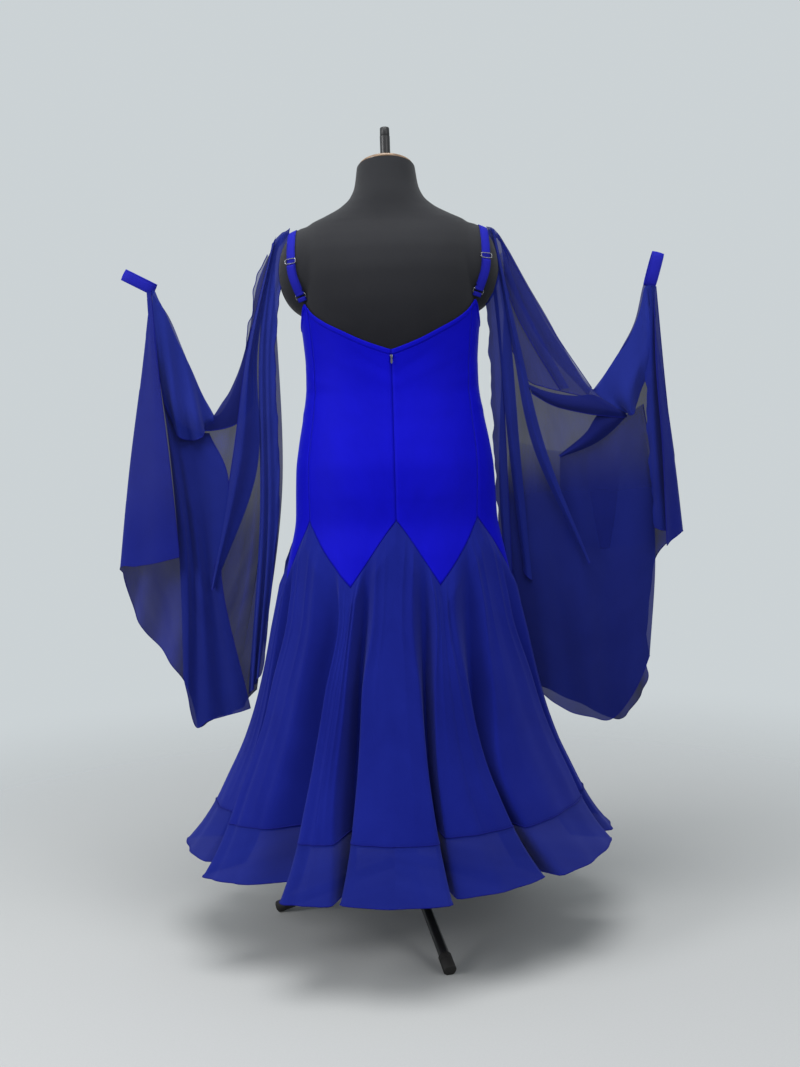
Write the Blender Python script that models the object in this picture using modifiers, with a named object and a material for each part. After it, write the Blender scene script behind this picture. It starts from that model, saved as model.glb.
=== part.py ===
"""Dance dress on a dress form, in metres, +Z up, dress front facing -Y.

The origin is on the floor under the pole.  The wearer's left is +X.
An azimuth is measured about the pole from the centre back (+Y) towards +X.
"""

from functools import lru_cache
from math import ceil, cos, degrees, floor, pi, radians, sin

import bmesh
import bpy
import numpy as np
from mathutils import Matrix, Vector
from mathutils.bvhtree import BVHTree

# Driving dimensions
FABRIC = 0.0012            # thickness of every cloth wall
SEAM = 0.0004              # gap between two neighbouring pieces
CREST_SEAM = 0.0010        # the same along a crest, where the inner faces draw together
BAND_SEAM = 0.0007         # the same between the gores and the hem band
FLOAT_THICKNESS = 0.0010
BODY_EASE = 0.0026         # body surface to the inside of the dress
TOTAL_HEIGHT = 1.465       # floor to the top of the pole
POLE_RADIUS = 0.009
NECK_TOP = 1.388           # at its middle
NECK_BASE = 1.322          # the neck leans forward from here up
NECK_LEAN = 0.31           # rise of its top for each metre towards the back
TORSO_BOTTOM = 0.600
TORSO_BORE = 0.0125
STUMP_X = 0.140            # middle of the rounded stump at each shoulder
STUMP_Z = 1.210
STUMP_SIZE = (0.060, 0.058, 0.082)
CAP_RADIUS = 0.0505
COLLAR_HEIGHT = 0.024
HUB_Z = 0.112
HUB_RADIUS = 0.021
LEG_RADIUS = 0.0095
FOOT_AZIMUTHS = (-15.0, 105.0, 225.0)
FOOT_RING = 0.262          # pole to the end of a leg's rubber sleeve, on its axis
FOOT_RISE = 0.0085         # height of that point; the sleeve is cut flat on the floor
FOOT_RADIUS = 0.0115
FOOT_LENGTH = 0.034

PEAK_Z = 0.765             # where the gores' tips reach into the bodice
POINT_Z = 0.653            # where the bodice's points end
HEM_Z = 0.165
BAND_HEIGHT = 0.098        # stiffened hem band, measured along the cloth
UNITS = 7                  # gores, and points of the bodice
PANEL_ROWS = 10
FLUTES = 2 * UNITS
COLUMN_PLACES = (0, 0.19, 0.375, 0.46, 0.54, 0.625, 0.81)  # of a mesh, in each flute
STRAIGHT_Z = 1.060         # above this the bodice seams are at their upper azimuths

STRAP_WIDTH = 0.016
CUFF_WIDTH = 0.021
CUFF_LENGTH = 0.062
CUFF_DEPTH = 0.015
CUFF_THICKNESS = 0.0016

BODY_POWER = 2.25          # 2 is an ellipse, more is squarer

# Body sections: height, half width, depth to the back, depth to the front
TORSO = (
    (0.600, 0.1660, 0.120, 0.112),
    (0.700, 0.1760, 0.128, 0.118),
    (0.780, 0.1795, 0.131, 0.120),
    (0.850, 0.1770, 0.127, 0.118),
    (0.900, 0.1700, 0.116, 0.112),
    (0.950, 0.1605, 0.103, 0.106),
    (1.000, 0.1535, 0.094, 0.104),
    (1.040, 0.1525, 0.092, 0.112),
    (1.080, 0.1550, 0.094, 0.127),
    (1.120, 0.1590, 0.098, 0.132),
    (1.160, 0.1625, 0.101, 0.122),
    (1.200, 0.1655, 0.100, 0.104),
    (1.240, 0.1650, 0.091, 0.086),
    (1.265, 0.1610, 0.079, 0.072),
    (1.282, 0.1530, 0.069, 0.061),
    (1.295, 0.1400, 0.062, 0.054),
    (1.308, 0.1130, 0.058, 0.050),
    (1.322, 0.0860, 0.056, 0.049),
    (1.338, 0.0670, 0.055, 0.049),
    (1.358, 0.0575, 0.053, 0.049),
    (1.388, 0.0525, 0.0515, 0.0495),
)

# Skirt over the folds' crests: height, half width, back, front, fold depth
SKIRT = (
    (0.800, 0.1830, 0.1340, 0.1230, 0.000),
    (0.765, 0.1845, 0.1355, 0.1245, 0.000),
    (0.700, 0.1975, 0.1530, 0.1430, 0.001),
    (0.600, 0.2185, 0.1830, 0.1760, 0.016),
    (0.500, 0.2415, 0.2180, 0.2130, 0.033),
    (0.420, 0.2640, 0.2480, 0.2450, 0.045),
    (0.350, 0.2900, 0.2810, 0.2790, 0.055),
    (0.290, 0.3180, 0.3130, 0.3120, 0.063),
    (0.240, 0.3430, 0.3400, 0.3400, 0.070),
    (0.200, 0.3680, 0.3650, 0.3650, 0.077),
    (0.165, 0.3960, 0.3930, 0.3930, 0.082),
)

# Folds of the skirt: flat lobes with narrow valleys between them, one lobe for each flute.
# Each row has a lobe's start, middle and end in degrees, one row for each level
LEVELS = (0.765, 0.600, 0.470, 0.345, 0.165)
LOBE_EDGE = 0.375          # share of a flute from a lobe's middle to its edge
VALLEY_EDGES = (0.46, 0.54)  # shares of a flute where the floor of a valley begins and ends
VALLEY_FLOOR = 1.3         # degrees between the two
ROUNDING = 1.0             # degrees over which a fold's edge is rounded
BACK_LOBES = {
    0: ((-7.6, 0.0, 7.6), (-4.0, 2.6, 9.4), (-6.6, 4.0, 14.6), (-8.1, 3.5, 15.3),
        (-11.5, 3.0, 17.7)),
    1: ((13.1, 21.0, 33.8), (19.3, 21.6, 24.8), (21.8, 25.2, 29.7), (23.3, 27.2, 31.5),
        (18.8, 26.0, 31.8)),
    2: ((42.3, 55.0, 64.0), (42.7, 52.0, 58.3), (47.7, 58.0, 65.1), (50.4, 60.0, 66.0),
        (51.4, 57.0, 61.2)),
    3: ((70.0, 79.0, 88.0), (72.0, 78.0, 84.0), (74.0, 81.0, 88.0), (74.0, 82.0, 90.0),
        (72.5, 83.0, 94.0)),
    12: ((300.0, 311.1, 321.9), (300.2, 309.0, 319.0), (288.3, 303.0, 319.7),
         (281.7, 300.0, 324.0), (278.1, 297.0, 314.0)),
    13: ((329.0, 339.8, 347.4), (337.6, 341.5, 344.8), (332.8, 340.0, 347.5),
         (327.3, 338.0, 348.6), (316.8, 332.0, 347.2)),
}
# Azimuth of the middle at the top and at the hem, for the lobes out of sight
FRONT_LOBES = {
    4: (102.9, 107.5), 5: (128.6, 129.5), 6: (154.3, 151.5), 7: (180.0, 174.0),
    8: (205.7, 196.5), 9: (231.4, 219.0), 10: (257.1, 241.5), 11: (280.0, 262.5),
}
# Half their width at each level
FRONT_HALF_WIDTHS = (9.6, 6.5, 7.5, 8.2, 8.4)
# Extra reach at the hem of a lobe's start, middle and end
HEM_REACH = {
    0: (-0.022, -0.018, -0.028), 1: (-0.021, -0.006, -0.003), 2: (-0.021, -0.002, 0.008),
    3: (-0.016, 0.005, 0.019), 12: (-0.014, -0.028, -0.038), 13: (-0.056, -0.046, -0.047),
}
FRONT_REACH = (-0.010, -0.006, -0.010)
# Where a valley lies between its two lobes, if not half way
VALLEY_SHARES = {0: 0.6, 1: 0.28, 12: 0.30, 13: 0.40}
# Azimuth parameter of the bodice's lines at the top, for each half unit at the hips
TOP_AZIMUTHS = (
    (0, 0), (25.714, 25.7), (51.429, 61.5), (77.143, 81.0), (102.857, 102.857),
    (257.143, 257.143), (282.857, 279.0), (308.571, 298.5), (334.286, 334.3), (360, 360),
)

# Upper edge of the bodice: azimuth parameter in degrees, height
TOP_EDGE = (
    (0, 1.063), (15, 1.080), (30, 1.099), (45, 1.117), (55, 1.131), (61, 1.142),
    (65, 1.150), (69, 1.146), (76, 1.128), (84, 1.1155), (90, 1.113), (100, 1.118),
    (112, 1.140), (124, 1.174), (131, 1.192), (138, 1.193), (146, 1.182), (160, 1.168),
    (180, 1.162),
)

# Straps, front base to back ring: angle about the shoulder in degrees, distance from the pole
STRAP_COURSE = (
    (172.5, 0.1200), (155, 0.1400), (130, 0.1590), (100, 0.1680), (75, 0.1705),
    (45, 0.1720), (15, 0.1700), (-10, 0.1630), (-32, 0.1550),
)
SHOULDER_Z = 1.190
STRAP_LIFT = 0.0034        # body surface to the strap's outer face
RING_AT = 7.82             # place along the strap course
BUCKLE_AT = 5.30
TAIL_FROM = 5.52
STRAP_STOP = 0.48          # place of its lower end, before the ring
RING_WIDTH = 0.0195
RING_LENGTH = 0.0080
RING_WIRE = 0.0008
BUCKLE_WIDTH = 0.0200
BUCKLE_LENGTH = 0.0085
BUCKLE_WIRE = 0.0009
WRAP_RADIUS = 0.0012       # inside of the cloth where it turns round a ring
TAB_LENGTH = 0.0052

# Left float, hang lines from the shoulder to the free edge: at the top, the upper third,
# the lower third and the hem, each as distance from the pole, depth and height
LEFT_FLOAT = (
    ((0.1779, 0.0000, 1.2840), (0.2070, -0.006, 1.205), (0.209, -0.020, 0.82), (0.272, -0.030, 0.445)),
    ((0.1890, 0.0010, 1.2805), (0.2185, 0.002, 1.178), (0.230, 0.000, 0.79), (0.294, -0.008, 0.420)),
    ((0.2010, -0.0010, 1.2680), (0.2310, -0.010, 1.138), (0.249, -0.020, 0.76), (0.319, -0.026, 0.404)),
    ((0.2180, 0.0020, 1.2400), (0.2455, -0.002, 1.085), (0.267, -0.002, 0.73), (0.345, -0.010, 0.400)),
    ((0.2410, -0.0010, 1.1880), (0.2620, -0.012, 1.000), (0.291, -0.020, 0.71), (0.366, -0.028, 0.386)),
    ((0.2560, 0.0040, 1.1100), (0.2770, 0.000, 0.935), (0.318, -0.004, 0.69), (0.384, -0.010, 0.383)),
    ((0.284, 0.000, 1.020), (0.298, -0.010, 0.90), (0.345, -0.018, 0.70), (0.400, -0.024, 0.450)),
    ((0.322, 0.004, 0.958), (0.332, 0.000, 0.865), (0.378, -0.008, 0.70), (0.428, -0.012, 0.500)),
    ((0.352, 0.000, 1.008), (0.368, -0.012, 0.90), (0.413, -0.020, 0.73), (0.458, -0.026, 0.537)),
    ((0.378, 0.002, 1.078), (0.400, -0.008, 0.95), (0.446, -0.014, 0.78), (0.482, -0.020, 0.572)),
    ((0.402, 0.000, 1.140), (0.432, -0.010, 1.00), (0.470, -0.016, 0.83), (0.496, -0.020, 0.612)),
    ((0.4302, 0.0000, 1.1774), (0.454, 0.004, 1.04), (0.485, 0.004, 0.86), (0.509, 0.004, 0.682)),
    ((0.4345, 0.0035, 1.1789), (0.444, 0.022, 1.04), (0.468, 0.030, 0.86), (0.480, 0.034, 0.690)),
    ((0.4395, 0.0062, 1.1812), (0.430, 0.032, 1.03), (0.434, 0.044, 0.86), (0.440, 0.050, 0.696)),
    ((0.4450, 0.0080, 1.1846), (0.416, 0.038, 1.03), (0.405, 0.052, 0.86), (0.400, 0.056, 0.700)),
)

# Right float, the same columns
RIGHT_FLOAT = (
    ((0.1779, 0.0000, 1.2840), (0.207, -0.008, 1.205), (0.193, -0.062, 0.78), (0.234, -0.170, 0.424)),
    ((0.1900, 0.0010, 1.2800), (0.219, 0.002, 1.180), (0.214, -0.052, 0.76), (0.266, -0.145, 0.416)),
    ((0.2030, -0.0010, 1.2660), (0.232, -0.016, 1.140), (0.240, -0.064, 0.72), (0.300, -0.124, 0.402)),
    ((0.2220, 0.0020, 1.2320), (0.250, -0.006, 1.090), (0.270, -0.040, 0.69), (0.336, -0.088, 0.388)),
    ((0.2500, -0.0010, 1.1800), (0.276, -0.020, 1.00), (0.301, -0.046, 0.66), (0.371, -0.070, 0.376)),
    ((0.284, 0.004, 1.118), (0.304, -0.008, 0.94), (0.333, -0.026, 0.65), (0.405, -0.040, 0.363)),
    ((0.322, 0.000, 1.048), (0.334, -0.018, 0.89), (0.364, -0.032, 0.65), (0.428, -0.042, 0.378)),
    ((0.363, 0.004, 0.986), (0.368, -0.006, 0.87), (0.394, -0.014, 0.67), (0.450, -0.020, 0.420)),
    ((0.392, 0.000, 1.018), (0.398, -0.016, 0.88), (0.421, -0.022, 0.70), (0.460, -0.028, 0.465)),
    ((0.420, 0.004, 1.062), (0.424, -0.008, 0.91), (0.440, -0.012, 0.74), (0.458, -0.016, 0.520)),
    ((0.444, 0.002, 1.108), (0.450, -0.012, 0.95), (0.458, -0.016, 0.80), (0.467, -0.020, 0.600)),
    ((0.4590, 0.0000, 1.1600), (0.472, 0.002, 0.99), (0.484, 0.000, 0.85), (0.480, -0.002, 0.680)),
    ((0.4664, 0.0020, 1.1670), (0.488, 0.012, 1.02), (0.509, 0.012, 0.86), (0.523, 0.012, 0.722)),
    ((0.4735, 0.0040, 1.1661), (0.482, 0.026, 1.02), (0.497, 0.030, 0.87), (0.504, 0.034, 0.712)),
    ((0.4798, 0.0052, 1.1643), (0.474, 0.036, 1.02), (0.480, 0.046, 0.88), (0.484, 0.050, 0.700)),
)

# Upper edge folded over, at each hang line: its drop, then how far it stands off sideways
# and towards the back
LEFT_FOLD_OVER = (
    (0.006, 0.000, 0.006), (0.006, 0.000, 0.006), (0.006, 0.000, 0.006), (0.006, 0.000, 0.006),
    (0.007, 0.001, 0.007), (0.009, 0.001, 0.008), (0.016, 0.003, 0.010), (0.030, 0.006, 0.014),
    (0.080, 0.014, 0.020), (0.100, 0.018, 0.020), (0.060, 0.006, 0.014), (0.010, -0.001, 0.005),
    (0.005, -0.002, 0.004), (0.005, -0.002, 0.004), (0.005, -0.002, 0.004),
)
RIGHT_FOLD_OVER = (
    (0.006, 0.000, 0.006), (0.006, 0.000, 0.006), (0.006, 0.000, 0.006), (0.006, 0.000, 0.006),
    (0.008, 0.000, 0.007), (0.010, 0.001, 0.008), (0.016, 0.003, 0.010), (0.034, 0.006, 0.014),
    (0.084, 0.015, 0.020), (0.110, 0.018, 0.020), (0.086, 0.010, 0.018), (0.026, 0.001, 0.008),
    (0.006, -0.003, 0.004), (0.006, -0.003, 0.003), (0.006, -0.003, 0.003),
)

# Wrist loops: inner end and direction of length in the XZ plane
LEFT_CUFF = ((0.4255, 1.1885), 28.0)
RIGHT_CUFF = ((0.4710, 1.1680), 74.0)

# Zip
ZIP_TOP = 1.058
TAPE_WIDTH = 0.009
TAPE_THICKNESS = 0.0009
TAPE_GAP = 0.0006          # tape to the panels that cover it
TAPE_SHORT = 0.4           # share of the last row by which it ends above the gore
SLIDER_WIDTH = 0.0042
SLIDER_HEIGHT = 0.0070
SLIDER_DEPTH = 0.0016
LUG_GAP = 0.0022
LUG_WIDTH = 0.0009
PULL_PIVOT_Z = 1.0505
PULL_PIN = 0.0005
PULL_WIDTH = 0.0044
PULL_LENGTH = 0.0105
PULL_THICKNESS = 0.0009


# Materials
def material(name, colour, roughness, metallic=0.0):
    found = bpy.data.materials.get(name)
    if found:
        return found
    made = bpy.data.materials.new(name)
    made.use_nodes = True
    shader = made.node_tree.nodes["Principled BSDF"]
    shader.inputs["Base Color"].default_value = (*colour, 1.0)
    shader.inputs["Roughness"].default_value = roughness
    shader.inputs["Metallic"].default_value = metallic
    made.diffuse_color = (*colour, 1.0)
    return made


def satin_jersey():
    return material("royal_blue_jersey", (0.006, 0.004, 0.50), 0.55)


def chiffon():
    return material("royal_blue_chiffon", (0.010, 0.014, 0.22), 0.85)


def form_cloth():
    return material("black_form_jersey", (0.022, 0.022, 0.024), 0.90)


def black_metal():
    return material("black_painted_steel", (0.020, 0.020, 0.022), 0.45, 0.6)


def black_rubber():
    return material("black_rubber", (0.015, 0.015, 0.015), 0.80)


def pale_wood():
    return material("varnished_wood", (0.42, 0.24, 0.13), 0.45)


def silver_metal():
    return material("silver_metal", (0.62, 0.62, 0.64), 0.25, 1.0)


# Objects
def link(name, mesh, finish, smooth_angle=40.0):
    mesh.materials.append(finish)
    mesh.shade_smooth()
    mesh.set_sharp_from_angle(angle=radians(smooth_angle))
    made = bpy.data.objects.new(name, mesh)
    PARTS.objects.link(made)
    return made


def from_bmesh(name, shape, finish, smooth_angle=40.0):
    bmesh.ops.recalc_face_normals(shape, faces=shape.faces)
    mesh = bpy.data.meshes.new(name)
    shape.to_mesh(mesh)
    shape.free()
    return link(name, mesh, finish, smooth_angle)


def cloth(name, rows, finish, thickness=FABRIC, offset=-1.0, ring=False, even=True):
    """A cloth wall: an open surface through rows of points, given its thickness."""
    shape = bmesh.new()
    verts = [[shape.verts.new(point) for point in row] for row in rows]
    count = len(rows[0])
    last = count if ring else count - 1
    for upper, lower in zip(verts, verts[1:]):
        for i in range(last):
            j = (i + 1) % count
            shape.faces.new((upper[i], upper[j], lower[j]))
            shape.faces.new((upper[i], lower[j], lower[i]))
    mesh = bpy.data.meshes.new(name)
    shape.to_mesh(mesh)
    shape.free()
    made = link(name, mesh, finish)
    solid = made.modifiers.new("wall", "SOLIDIFY")
    solid.thickness = thickness
    solid.offset = offset
    solid.use_even_offset = even
    solid.use_quality_normals = True
    return made


def turned(name, profile, finish, segments=18):
    """A turned piece: a closed profile of radius and height, outer side first and downwards."""
    mesh = bpy.data.meshes.new(name)
    points = [(radius, 0.0, z) for radius, z in profile]
    edges = [(i, (i + 1) % len(points)) for i in range(len(points))]
    mesh.from_pydata(points, edges, [])
    made = bpy.data.objects.new(name, mesh)
    mesh.materials.append(finish)
    PARTS.objects.link(made)
    screw = made.modifiers.new("turned", "SCREW")
    screw.axis = "Z"
    screw.steps = segments
    screw.render_steps = segments
    screw.use_merge_vertices = True
    screw.merge_threshold = 0.00001
    screw.use_smooth_shade = True
    return made


def rod(name, start, end, radius, finish, segments=14, end_radius=None):
    """A straight round bar between two points."""
    start = Vector(start)
    end = Vector(end)
    shape = bmesh.new()
    bmesh.ops.create_cone(
        shape, cap_ends=True, segments=segments, radius1=radius,
        radius2=radius if end_radius is None else end_radius, depth=(end - start).length)
    made = from_bmesh(name, shape, finish)
    made.location = (start + end) / 2
    made.rotation_mode = "QUATERNION"
    made.rotation_quaternion = (end - start).to_track_quat("Z", "Y")
    return made


# Curves and sections
def spline(points, t):
    """Catmull-Rom through evenly numbered points; t runs from 0 to their number less one."""
    last = len(points) - 1
    i = min(int(floor(t)), last - 1)
    f = t - i
    p1 = Vector(points[i])
    p2 = Vector(points[i + 1])
    p0 = Vector(points[i - 1]) if i > 0 else 2 * p1 - p2
    p3 = Vector(points[i + 2]) if i + 2 <= last else 2 * p2 - p1
    m1 = (p2 - p0) / 2
    m2 = (p3 - p1) / 2
    return (p1 * (2 * f**3 - 3 * f**2 + 1) + m1 * (f**3 - 2 * f**2 + f)
            + p2 * (3 * f**2 - 2 * f**3) + m2 * (f**3 - f**2))


def lookup(table, key):
    """A row of a table at a key between its rows, smooth and without overshoot."""
    keys = [row[0] for row in table]
    if keys[0] > keys[-1]:
        table = table[::-1]
        keys = keys[::-1]
    key = min(max(key, keys[0]), keys[-1])
    i = max(k for k in range(len(keys) - 1) if keys[k] <= key)
    span = keys[i + 1] - keys[i]
    f = (key - keys[i]) / span
    values = []
    for c in range(1, len(table[0])):
        def slope(k):
            return (table[k + 1][c] - table[k][c]) / (keys[k + 1] - keys[k])

        here = slope(i)
        before = slope(i - 1) if i > 0 else here
        after = slope(i + 1) if i + 2 < len(keys) else here
        m1 = 0.0 if before * here <= 0 else 2 * before * here / (before + here)
        m2 = 0.0 if after * here <= 0 else 2 * after * here / (after + here)
        a = table[i][c]
        b = table[i + 1][c]
        values.append(a * (2 * f**3 - 3 * f**2 + 1) + m1 * span * (f**3 - 2 * f**2 + f)
                      + b * (3 * f**2 - 2 * f**3) + m2 * span * (f**3 - f**2))
    return values


def oval(t, half_width, back, front, power):
    """A point of a rounded section; t is the azimuth parameter in radians."""
    c = cos(t)
    s = sin(t)
    depth = back if c > 0 else front
    x = half_width * abs(s) ** (2 / power) * (1 if s >= 0 else -1)
    y = depth * abs(c) ** (2 / power) * (1 if c >= 0 else -1)
    return x, y


def body_point(t, z, lift=0.0):
    """A point on the body, moved out by lift."""
    half_width, back, front = lookup(TORSO, z)
    x, y = oval(t, half_width + lift, back + lift, front + lift, BODY_POWER)
    return Vector((x, y, z))


def lobe(index):
    """A lobe's start, middle and end in degrees at each level; the count goes on past a turn."""
    whole, index = divmod(index, FLUTES)
    if index in BACK_LOBES:
        return np.array(BACK_LOBES[index]) + 360 * whole
    above, below = FRONT_LOBES[index]
    levels = np.array(LEVELS)
    middle = above + (below - above) * (levels[0] - levels) / (levels[0] - levels[-1])
    half = np.array(FRONT_HALF_WIDTHS)
    return np.stack([middle - half, middle, middle + half], 1) + 360 * whole


def fold_lines():
    """The fold lines: place in degrees, azimuth at each level, reach at the hem, valley share."""
    lines = []
    for k in range(-1, FLUTES + 1):
        here = lobe(k)
        after = lobe(k + 1)
        share = VALLEY_SHARES.get(k % FLUTES, 0.5)
        valley = here[:, 2] + (after[:, 0] - here[:, 2]) * share
        start, middle, end = HEM_REACH.get(k % FLUTES, FRONT_REACH)
        between = (end + HEM_REACH.get((k + 1) % FLUTES, FRONT_REACH)[0]) / 2
        half = VALLEY_FLOOR / 2
        for place, azimuths, reach, into in (
                (-LOBE_EDGE, here[:, 0], start, 0), (0, here[:, 1], middle, 0),
                (LOBE_EDGE, here[:, 2], end, 0),
                (VALLEY_EDGES[0], valley - half, between, 1),
                (VALLEY_EDGES[1], valley + half, between, 1)):
            lines.append(((k + place) * 360 / FLUTES, *azimuths, reach, into))
    return np.array(lines)


FOLD_LINES = fold_lines()


@lru_cache(maxsize=None)
def fold_at(t):
    """Azimuths at the levels, reach and valley share of any line, with rounded fold edges."""
    turn = degrees(t) % 360
    total = np.zeros(len(LEVELS) + 2)
    for step, weight in ((-ROUNDING, 0.25), (0.0, 0.5), (ROUNDING, 0.25)):
        total += weight * np.array([
            np.interp(turn + step, FOLD_LINES[:, 0], column) for column in FOLD_LINES.T[1:]])
    return tuple(float(value) for value in total)


def top_azimuth(t):
    return float(np.interp(degrees(t) % 360, *zip(*TOP_AZIMUTHS)))


def azimuth_at(t, z):
    """The azimuth parameter in radians that a line of the dress has at a height."""
    azimuths = fold_at(t)[:len(LEVELS)]
    if z < LEVELS[0]:
        return radians(lookup(list(zip(LEVELS, azimuths)), z)[0])
    share = min((z - LEVELS[0]) / (STRAIGHT_Z - LEVELS[0]), 1.0)
    return radians(azimuths[0] + (top_azimuth(t) - azimuths[0]) * share)


def dress_point(t, z, lift=0.0):
    """A point on the outer face of the dress; below the hips it follows the lobes."""
    azimuth = azimuth_at(t, z)
    if z >= SKIRT[0][0]:
        return body_point(azimuth, z, BODY_EASE + FABRIC + lift)
    wide, deep, fore, fold = lookup(SKIRT, z)
    level = min(max((PEAK_Z - z) / (PEAK_Z - HEM_Z), 0.0), 1.0)
    reach, into = fold_at(t)[len(LEVELS):]
    shift = reach * level**1.5 - fold * into**2 * (3 - 2 * into) + lift
    x, y = oval(azimuth, wide + shift, deep + shift, fore + shift, BODY_POWER - 0.25 * level)
    return Vector((x, y, z))


@lru_cache(maxsize=None)
def zigzag(t):
    """Height of the seam between bodice and gores, straight between its peaks and points."""
    unit = 360 / UNITS
    turn = (degrees(t) % 360) / unit
    peak = round(turn)
    whole, index = divmod(peak, UNITS)
    peak_at = azimuth_at(radians(index * unit), PEAK_Z) + 2 * pi * whole
    point_at = azimuth_at(radians((floor(turn) + 0.5) * unit), POINT_Z)
    z = PEAK_Z + (POINT_Z - PEAK_Z) * abs(turn - peak) * 2
    for _ in range(12):
        share = (azimuth_at(t, z) - peak_at) / (point_at - peak_at)
        z = PEAK_Z + (POINT_Z - PEAK_Z) * min(max(share, 0.0), 1.0)
    return z


def columns(start, count):
    """Azimuth parameters from the middle of one lobe to that of another, close at the folds."""
    turn = 2 * pi / FLUTES
    inner = [turn * (start + k + place) for k in range(count) for place in COLUMN_PLACES]
    return inner + [turn * (start + count)]


def top_edge(t):
    angle = abs((top_azimuth(t) + 180) % 360 - 180)
    return lookup(TOP_EDGE, angle)[0]


@lru_cache(maxsize=None)
def band_top(t):
    """Height at which the cloth is one band height up from the hem."""
    step = 0.004
    length = 0.0
    z = HEM_Z
    here = dress_point(t, z)
    while True:
        above = dress_point(t, z + step)
        gone = (above - here).length
        if length + gone >= BAND_HEIGHT:
            return z + step * (BAND_HEIGHT - length) / gone
        length += gone
        z += step
        here = above


# Stand
def stand():
    rod("stand_pole", (0, 0, HUB_Z - 0.020), (0, 0, TOTAL_HEIGHT), POLE_RADIUS, black_metal(), 20)
    bore = POLE_RADIUS + 0.0003
    turned("stand_hub", (
        (HUB_RADIUS - 0.003, HUB_Z + 0.026), (HUB_RADIUS, HUB_Z + 0.023),
        (HUB_RADIUS, HUB_Z - 0.021), (HUB_RADIUS - 0.003, HUB_Z - 0.024),
        (bore, HUB_Z - 0.024), (bore, HUB_Z + 0.026)), black_metal())
    for number, azimuth in enumerate(FOOT_AZIMUTHS, 1):
        leg(number, Vector((sin(radians(azimuth)), cos(radians(azimuth)), 0)))


def leg(number, out):
    """A leg and the rubber sleeve at its end, cut flat where it stands on the floor."""
    high = out * (HUB_RADIUS + 0.0035) + Vector((0, 0, HUB_Z))
    low = out * FOOT_RING + Vector((0, 0, FOOT_RISE))
    joint = low + (high - low).normalized() * FOOT_LENGTH
    rod(f"stand_leg_{number}", high, joint + (high - low).normalized() * SEAM, LEG_RADIUS,
        black_metal())
    sleeve = rod(f"stand_foot_{number}", joint, low, FOOT_RADIUS, black_rubber(), 20)
    below = box_shape("under_floor", (0.1, 0.1, 0.05), out * FOOT_RING + Vector((0, 0, -0.025)))
    combine(sleeve, below, "DIFFERENCE")


def collar():
    top = TORSO_BOTTOM - 0.0004
    bore = POLE_RADIUS + 0.0004
    turned("stand_collar", (
        (0.022, top - 0.002), (0.022, top - COLLAR_HEIGHT + 0.002),
        (0.020, top - COLLAR_HEIGHT), (bore, top - COLLAR_HEIGHT), (bore, top), (0.020, top)),
        black_metal())
    middle = top - COLLAR_HEIGHT / 2
    rod("collar_screw", (0.0223, 0, middle), (0.046, 0, middle), 0.0045, black_metal(), 12)


# Dress form
def leaned(point):
    """A point of the neck after it is sheared so that its top slopes down to the front."""
    share = min(max((point.z - NECK_BASE) / (NECK_TOP - NECK_BASE), 0.0), 1.0)
    return Vector((point.x, point.y, point.z + NECK_LEAN * point.y * share))


def form_torso():
    """A loft of the body's sections with a bore for the pole, joined to the two arm caps."""
    around = 28
    heights = [row[0] for row in TORSO]
    levels = []
    for low, high in zip(heights, heights[1:]):
        steps = max(1, int(ceil((high - low) / 0.06)))
        levels += [low + (high - low) * k / steps for k in range(steps)]
    levels.append(heights[-1])
    shape = bmesh.new()
    rings = []
    turns = [2 * pi * k / around for k in range(around)]
    for z in levels:
        rings.append([shape.verts.new(leaned(body_point(t, z))) for t in turns])
    for z in (NECK_TOP, TORSO_BOTTOM):
        rings.append([shape.verts.new(leaned(Vector((TORSO_BORE * sin(t), TORSO_BORE * cos(t), z))))
                      for t in turns])
    for lower, upper in zip(rings, rings[1:] + rings[:1]):
        for k in range(around):
            j = (k + 1) % around
            shape.faces.new((lower[k], upper[k], upper[j], lower[j]))
    torso = from_bmesh("form_torso", shape, form_cloth())
    for side in (-1, 1):
        ball = bmesh.new()
        bmesh.ops.create_uvsphere(ball, u_segments=20, v_segments=14, radius=1.0)
        bmesh.ops.scale(ball, vec=STUMP_SIZE, verts=ball.verts)
        mesh = bpy.data.meshes.new("arm_cap")
        ball.to_mesh(mesh)
        ball.free()
        cap = bpy.data.objects.new("arm_cap_shape", mesh)
        cap.location = (side * STUMP_X, 0, STUMP_Z)
        cap.hide_render = True
        cap.display_type = "WIRE"
        CUTTERS.objects.link(cap)
        combine(torso, cap, "UNION")
    return torso


def neck_cap():
    """A turned disc, sheared like the neck's top, with an upright bore for the pole."""
    base = NECK_TOP + 0.0003
    bore = POLE_RADIUS + 0.0006
    profile = (
        (bore, 0.0125), (0.020, 0.0120), (0.036, 0.0095), (CAP_RADIUS - 0.003, 0.0062),
        (CAP_RADIUS, 0.0040), (CAP_RADIUS, 0.0010), (CAP_RADIUS - 0.001, 0.0), (bore, 0.0))
    around = 24
    turns = [2 * pi * k / around for k in range(around)]
    shape = bmesh.new()
    rings = [[shape.verts.new(leaned(Vector((radius * sin(t), radius * cos(t), base + rise))))
              for t in turns] for radius, rise in profile]
    for lower, upper in zip(rings, rings[1:] + rings[:1]):
        for k in range(around):
            j = (k + 1) % around
            shape.faces.new((lower[k], upper[k], upper[j], lower[j]))
    from_bmesh("form_neck_cap", shape, pale_wood())


# Bodice
def panel(name, first):
    """A bodice panel over two flutes, from the middle of a lobe on."""
    turns = columns(first, 2)
    grid = []
    for r in range(PANEL_ROWS + 1):
        line = []
        for t in turns:
            z = top_edge(t) + (zigzag(t) + SEAM - top_edge(t)) * r / PANEL_ROWS
            line.append(dress_point(t, z))
        grid.append(line)
    narrow(grid, SEAM / 2)
    return cloth(name, grid, satin_jersey())


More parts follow.
